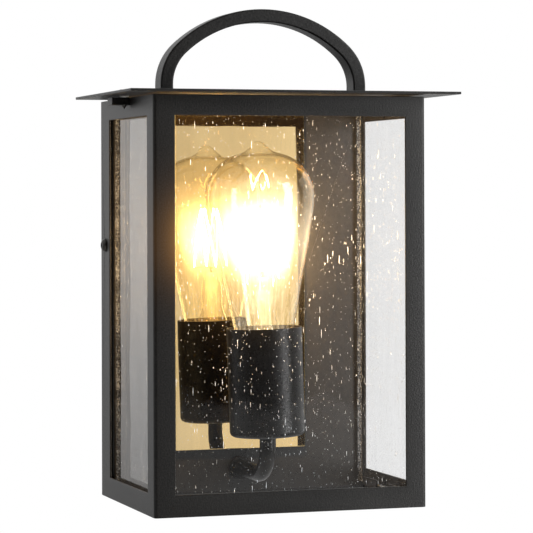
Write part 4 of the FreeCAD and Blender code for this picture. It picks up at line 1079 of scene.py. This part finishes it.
    def stem_surfaces(self) -> list[Surface]:
        """Flared and pressed glass stem.

        The radius falls from the flare to the tube by a smooth step, then the tube flattens towards the
        press: a(h) cos t across and b(h) sin t deep, with b shrinking over the last fifth.
        """
        share = np.linspace(0, 1, 60)
        height = self.stem_foot + (self.stem_top - self.stem_foot) * share
        flare = np.clip(share / 0.4, 0, 1)
        flare = flare * flare * (3 - 2 * flare)
        wide = (9.4 - 2.9 * flare) * MM
        press = np.clip((share - 0.72) / 0.28, 0, 1)
        press = press * press * (3 - 2 * press)
        across = wide * (1 - 0.35 * press)
        deep = wide * (1 - 0.66 * press)
        across = np.concatenate([[0.0], across, [0.0]])
        deep = np.concatenate([[0.0], deep, [0.0]])
        height = np.concatenate([height[:1], height, height[-1:]])
        angle = np.arange(64) * TURN / 64
        x = across[:, None] * np.cos(angle)
        y = deep[:, None] * np.sin(angle)
        points = np.stack([x, y, np.broadcast_to(height[:, None], x.shape)], axis=-1).reshape(-1, 3)
        return [Surface(points, [grid_faces(len(height), 64, close_columns=True)])]

    def cap(self) -> list[Surface]:
        """Screw cap with a rolled thread.

        Outside, the radius is root + (crest - root)(1 + cos(2 pi h / pitch - a)) / 2, faded out near both
        ends; inside it is a plain sleeve.
        """
        sides, rows = 72, 110
        angle = np.arange(sides) * TURN / sides
        height = np.linspace(self.cap_foot, self.cap_top, rows)
        fade = np.clip(np.minimum(height - self.cap_foot, self.cap_top - 3 * MM - height) / (2.5 * MM), 0, 1)
        wave = 0.5 + 0.5 * np.cos(TURN * height[:, None] / self.pitch - angle)
        radius = self.cap_root + (self.cap_crest - self.cap_root) * wave * fade[:, None]
        outer = np.stack([radius * np.cos(angle), radius * np.sin(angle),
                          np.broadcast_to(height[:, None], radius.shape)], axis=-1)

        def ring(r: float, h: float) -> np.ndarray:
            """Circle of a radius at a height, as one row of points."""
            return np.stack([r * np.cos(angle), r * np.sin(angle), np.full(sides, h)], axis=-1)[None]

        sleeve = self.cap_root - 0.4 * MM
        rows_all = np.concatenate([
            ring(8.0 * MM, self.cap_foot - 2.0 * MM), outer, ring(sleeve, self.cap_top),
            ring(sleeve, self.cap_foot + 0.3 * MM), ring(8.0 * MM, self.cap_foot - 1.5 * MM),
        ])
        faces = grid_faces(len(rows_all), sides, close_rows=True, close_columns=True)
        return [Surface(rows_all.reshape(-1, 3), [faces])]

    def ring_point(self, number: np.ndarray) -> np.ndarray:
        """Hook of a given number: even ones on the lower ring, odd ones on the upper."""
        upper = number % 2 == 1
        reach = np.where(upper, self.upper_ring, self.lower_ring) + 0.55 * MM
        level = np.where(upper, self.hub_top - 2 * MM, self.stem_top + 3 * MM)
        angle = TURN * number / self.runs
        return np.stack([np.cos(angle) * reach, np.sin(angle) * reach, level], axis=-1)

    def supports(self) -> list[Surface]:
        """Centre rod with a button at each ring and a hooked wire to every hook."""
        rod = np.stack([np.zeros(12), np.zeros(12), np.linspace(self.stem_top, self.hub_top, 12)], axis=-1)
        surfaces = [swept(rod, 0.7 * MM, 12)]
        for level in (self.stem_top + 3 * MM, self.hub_top - 2 * MM):
            tilt = np.linspace(0, math.pi, 14)
            surfaces.append(turned(1.6 * MM * np.sin(tilt), level - 1.1 * MM * np.cos(tilt), 24))
        share = np.linspace(0, 1, 14)[:, None]
        for number in range(self.runs):
            tip = self.ring_point(np.array(number))
            hub = np.array([0.0, 0.0, tip[2]])
            path = hub + (tip - hub) * share
            path[:, 2] += 0.5 * MM * np.sin(math.pi * share[:, 0])
            surfaces.append(swept(path, 0.2 * MM, 8))
        return surfaces

    def filament(self) -> list[Surface]:
        """Eight runs strung between the rings, each bowed out a little from its straight line."""
        share = np.linspace(0, 1, 24)[:, None]
        surfaces = []
        for number in range(self.runs):
            first, last = self.ring_point(np.array(number)), self.ring_point(np.array(number + 1))
            along = (last - first) / np.linalg.norm(last - first)
            first, last = first + along * 0.5 * MM, last - along * 0.5 * MM
            path = first + (last - first) * share
            out = (first + last) / 2 * np.array([1.0, 1.0, 0.0])
            out /= max(np.linalg.norm(out), 1e-9)
            path = path + out * 0.7 * MM * np.sin(math.pi * share)
            surfaces.append(swept(path, 0.22 * MM, 8))
        return surfaces


# --- studio -------------------------------------------------------------------------------------------


@dataclass
class Studio:
    """White surroundings, floor, soft lights, the lamp's own light and the camera."""

    lamp: Lamp
    floor_height: float = -0.60
    floor_radius: float = 1.9
    crossings: float = 3.5
    clear_bounces: int = 32

    def build(self) -> None:
        """Set up the studio."""
        self.floor()
        self.surroundings()
        self.lights()
        self.camera()
        bpy.context.scene.view_settings.view_transform = "Standard"
        bpy.context.scene.cycles.transparent_max_bounces = self.clear_bounces
        self.bloom()

    def bloom(self) -> None:
        """Let what is brighter than white spill a soft glow round itself, as a lens does."""
        scene = bpy.context.scene
        scene.use_nodes = True
        tree = scene.node_tree
        tree.nodes.clear()
        layers = tree.nodes.new("CompositorNodeRLayers")
        glare = tree.nodes.new("CompositorNodeGlare")
        glare.glare_type = "FOG_GLOW"
        glare.quality = "HIGH"
        for key, value in (("Threshold", 1.15), ("Strength", 0.27), ("Size", 0.5), ("Saturation", 1.0)):
            glare.inputs[key].default_value = value
        result = tree.nodes.new("CompositorNodeComposite")
        tree.links.new(layers.outputs["Image"], glare.inputs["Image"])
        tree.links.new(glare.outputs["Image"], result.inputs["Image"])

    def floor(self) -> None:
        """Pale round floor: rings of points at growing radii round the centre."""
        sides = 96
        angle = np.arange(sides) * TURN / sides
        radius = np.array([0.0, 0.5, 1.0, 1.5, self.floor_radius])[:, None]
        points = np.stack([radius * np.cos(angle), radius * np.sin(angle),
                           np.full((5, sides), self.floor_height)], axis=-1).reshape(-1, 3)
        board = Board("pale_floor")
        tone = board.ramp(board.noise(6.0, 2.0), [(0.3, (0.86, 0.86, 0.86)), (0.7, (0.89, 0.89, 0.89))])
        shader = board.add("BsdfPrincipled", Base_Color=tone, Roughness=0.8)
        surface = Surface(points, [grid_faces(5, sides, close_columns=True)])
        thing = piece("studio_floor", [surface], [board.close(shader)])

    def surroundings(self) -> None:
        """White world: full white to the camera, and to the object white behind and dimmer in front.

        Rays that have crossed more clear faces than the limit meet another front brightness than the
        rest, which is what the mirror and the inside of the lantern see.
        """
        world = bpy.data.worlds.new("studio_world")
        bpy.context.scene.world = world
        world.use_nodes = True
        tree = world.node_tree
        tree.nodes.clear()

        def add(kind: str, **values: object) -> bpy.types.Node:
            """Add a shader node and set its properties."""
            node = tree.nodes.new("ShaderNode" + kind)
            for key, value in values.items():
                setattr(node, key, value)
            return node

        direction = add("TexCoord").outputs["Generated"]
        parts = add("SeparateXYZ")
        tree.links.new(direction, parts.inputs[0])

        def spread(source: Socket, start: float, stop: float, low: float, high: float) -> Socket:
            """Go smoothly from low to high while the source goes from start to stop."""
            node = add("MapRange", interpolation_type="SMOOTHSTEP")
            tree.links.new(source, node.inputs["Value"])
            for key, value in (("From Min", start), ("From Max", stop), ("To Min", low), ("To Max", high)):
                node.inputs[key].default_value = value
            return node.outputs["Result"]

        def combine(operation: str, first: Socket, second: Socket | float) -> Socket:
            """Join two values by an arithmetic operation."""
            node = add("Math", operation=operation)
            tree.links.new(first, node.inputs[0])
            if isinstance(second, float):
                node.inputs[1].default_value = second
            else:
                tree.links.new(second, node.inputs[1])
            return node.outputs[0]

        depth = spread(parts.outputs["Y"], -0.75, 0.1, 0.0, 1.0)
        falling = spread(parts.outputs["Z"], -0.22, 0.02, 0.28, 0.95)
        outside = spread(parts.outputs["X"], 0.25, 0.55, 0.02, 0.72)
        low = spread(parts.outputs["Z"], -0.085, -0.079, 0.42, 0.0)
        inside = spread(parts.outputs["X"], 0.12, 0.34, 0.15, 1.05)
        path = add("LightPath")
        within = combine("GREATER_THAN", path.outputs["Transparent Depth"], self.crossings)
        without = combine("LESS_THAN", path.outputs["Transparent Depth"], self.crossings)
        front = combine("ADD", combine("MULTIPLY", inside, within),
                        combine("MULTIPLY", combine("ADD", outside, low), without))
        level = combine("MAXIMUM", combine("MULTIPLY", depth, falling), front)
        seen = combine("MAXIMUM", level, path.outputs["Is Camera Ray"])
        shade = add("Background")
        shade.inputs["Color"].default_value = WHITE
        tree.links.new(seen, shade.inputs["Strength"])
        tree.links.new(shade.outputs[0], add("OutputWorld").inputs["Surface"])

    def lights(self) -> None:
        """One large soft light to the right and the lamp's own warm light."""
        self.area("soft_right", (0.70, -0.78, 0.12), (0.0, -0.08, -0.02), 0.34, 0.95, 10.0, (1.0, 1.0, 1.0))
        glow = bpy.data.lights.new("filament_light", "POINT")
        glow.energy = 5.6
        glow.color = (1.0, 0.68, 0.38)
        glow.shadow_soft_size = 0.009
        thing = bpy.data.objects.new("filament_light", glow)
        thing.location = self.lamp.base + self.lamp.axis * 0.1217
        thing.visible_camera = False
        thing.visible_glossy = False
        bpy.context.scene.collection.objects.link(thing)

    def area(self, name: str, place: Sequence[float], target: Sequence[float], width: float, height: float,
             power: float, colour: Colour) -> None:
        """Add a rectangular light aimed at a point."""
        light = bpy.data.lights.new(name, "AREA")
        light.shape = "RECTANGLE"
        light.size, light.size_y = width, height
        light.energy = power
        light.color = colour
        thing = bpy.data.objects.new(name, light)
        thing.location = place
        thing.rotation_euler = (Vector(target) - Vector(place)).to_track_quat("-Z", "Y").to_euler()
        thing.visible_camera = False
        bpy.context.scene.collection.objects.link(thing)

    def camera(self) -> None:
        """Camera a little to the left of the lantern, slightly above its middle."""
        lens = bpy.data.cameras.new("camera")
        lens.lens = 168.5
        lens.sensor_width = 36.0
        lens.shift_y = -0.1624
        lens.clip_start = 0.05
        thing = bpy.data.objects.new("camera", lens)
        turn = Matrix.Rotation(-0.313, 3, "Z") @ Matrix.Rotation(math.pi / 2 + 0.008, 3, "X")
        thing.rotation_euler = (turn @ Matrix.Rotation(-0.003, 3, "Z")).to_euler()
        thing.location = (-0.4480, -1.4577, 0.0268)
        bpy.context.scene.collection.objects.link(thing)
        bpy.context.scene.camera = thing


def main() -> None:
    """Build the sub-assemblies in order."""
    logging.basicConfig(level=logging.INFO, format="%(name)s: %(message)s")
    finishes = Finishes()
    lamp = Lamp(finishes)
    for part in (LanternBody(finishes), Windows(finishes), Mirror(finishes), Roof(finishes),
                 Fastenings(finishes), SocketParts(finishes), lamp, Studio(lamp)):
        part.build()
        log.info("%s done", type(part).__name__)


if __name__ == "__main__":
    main()
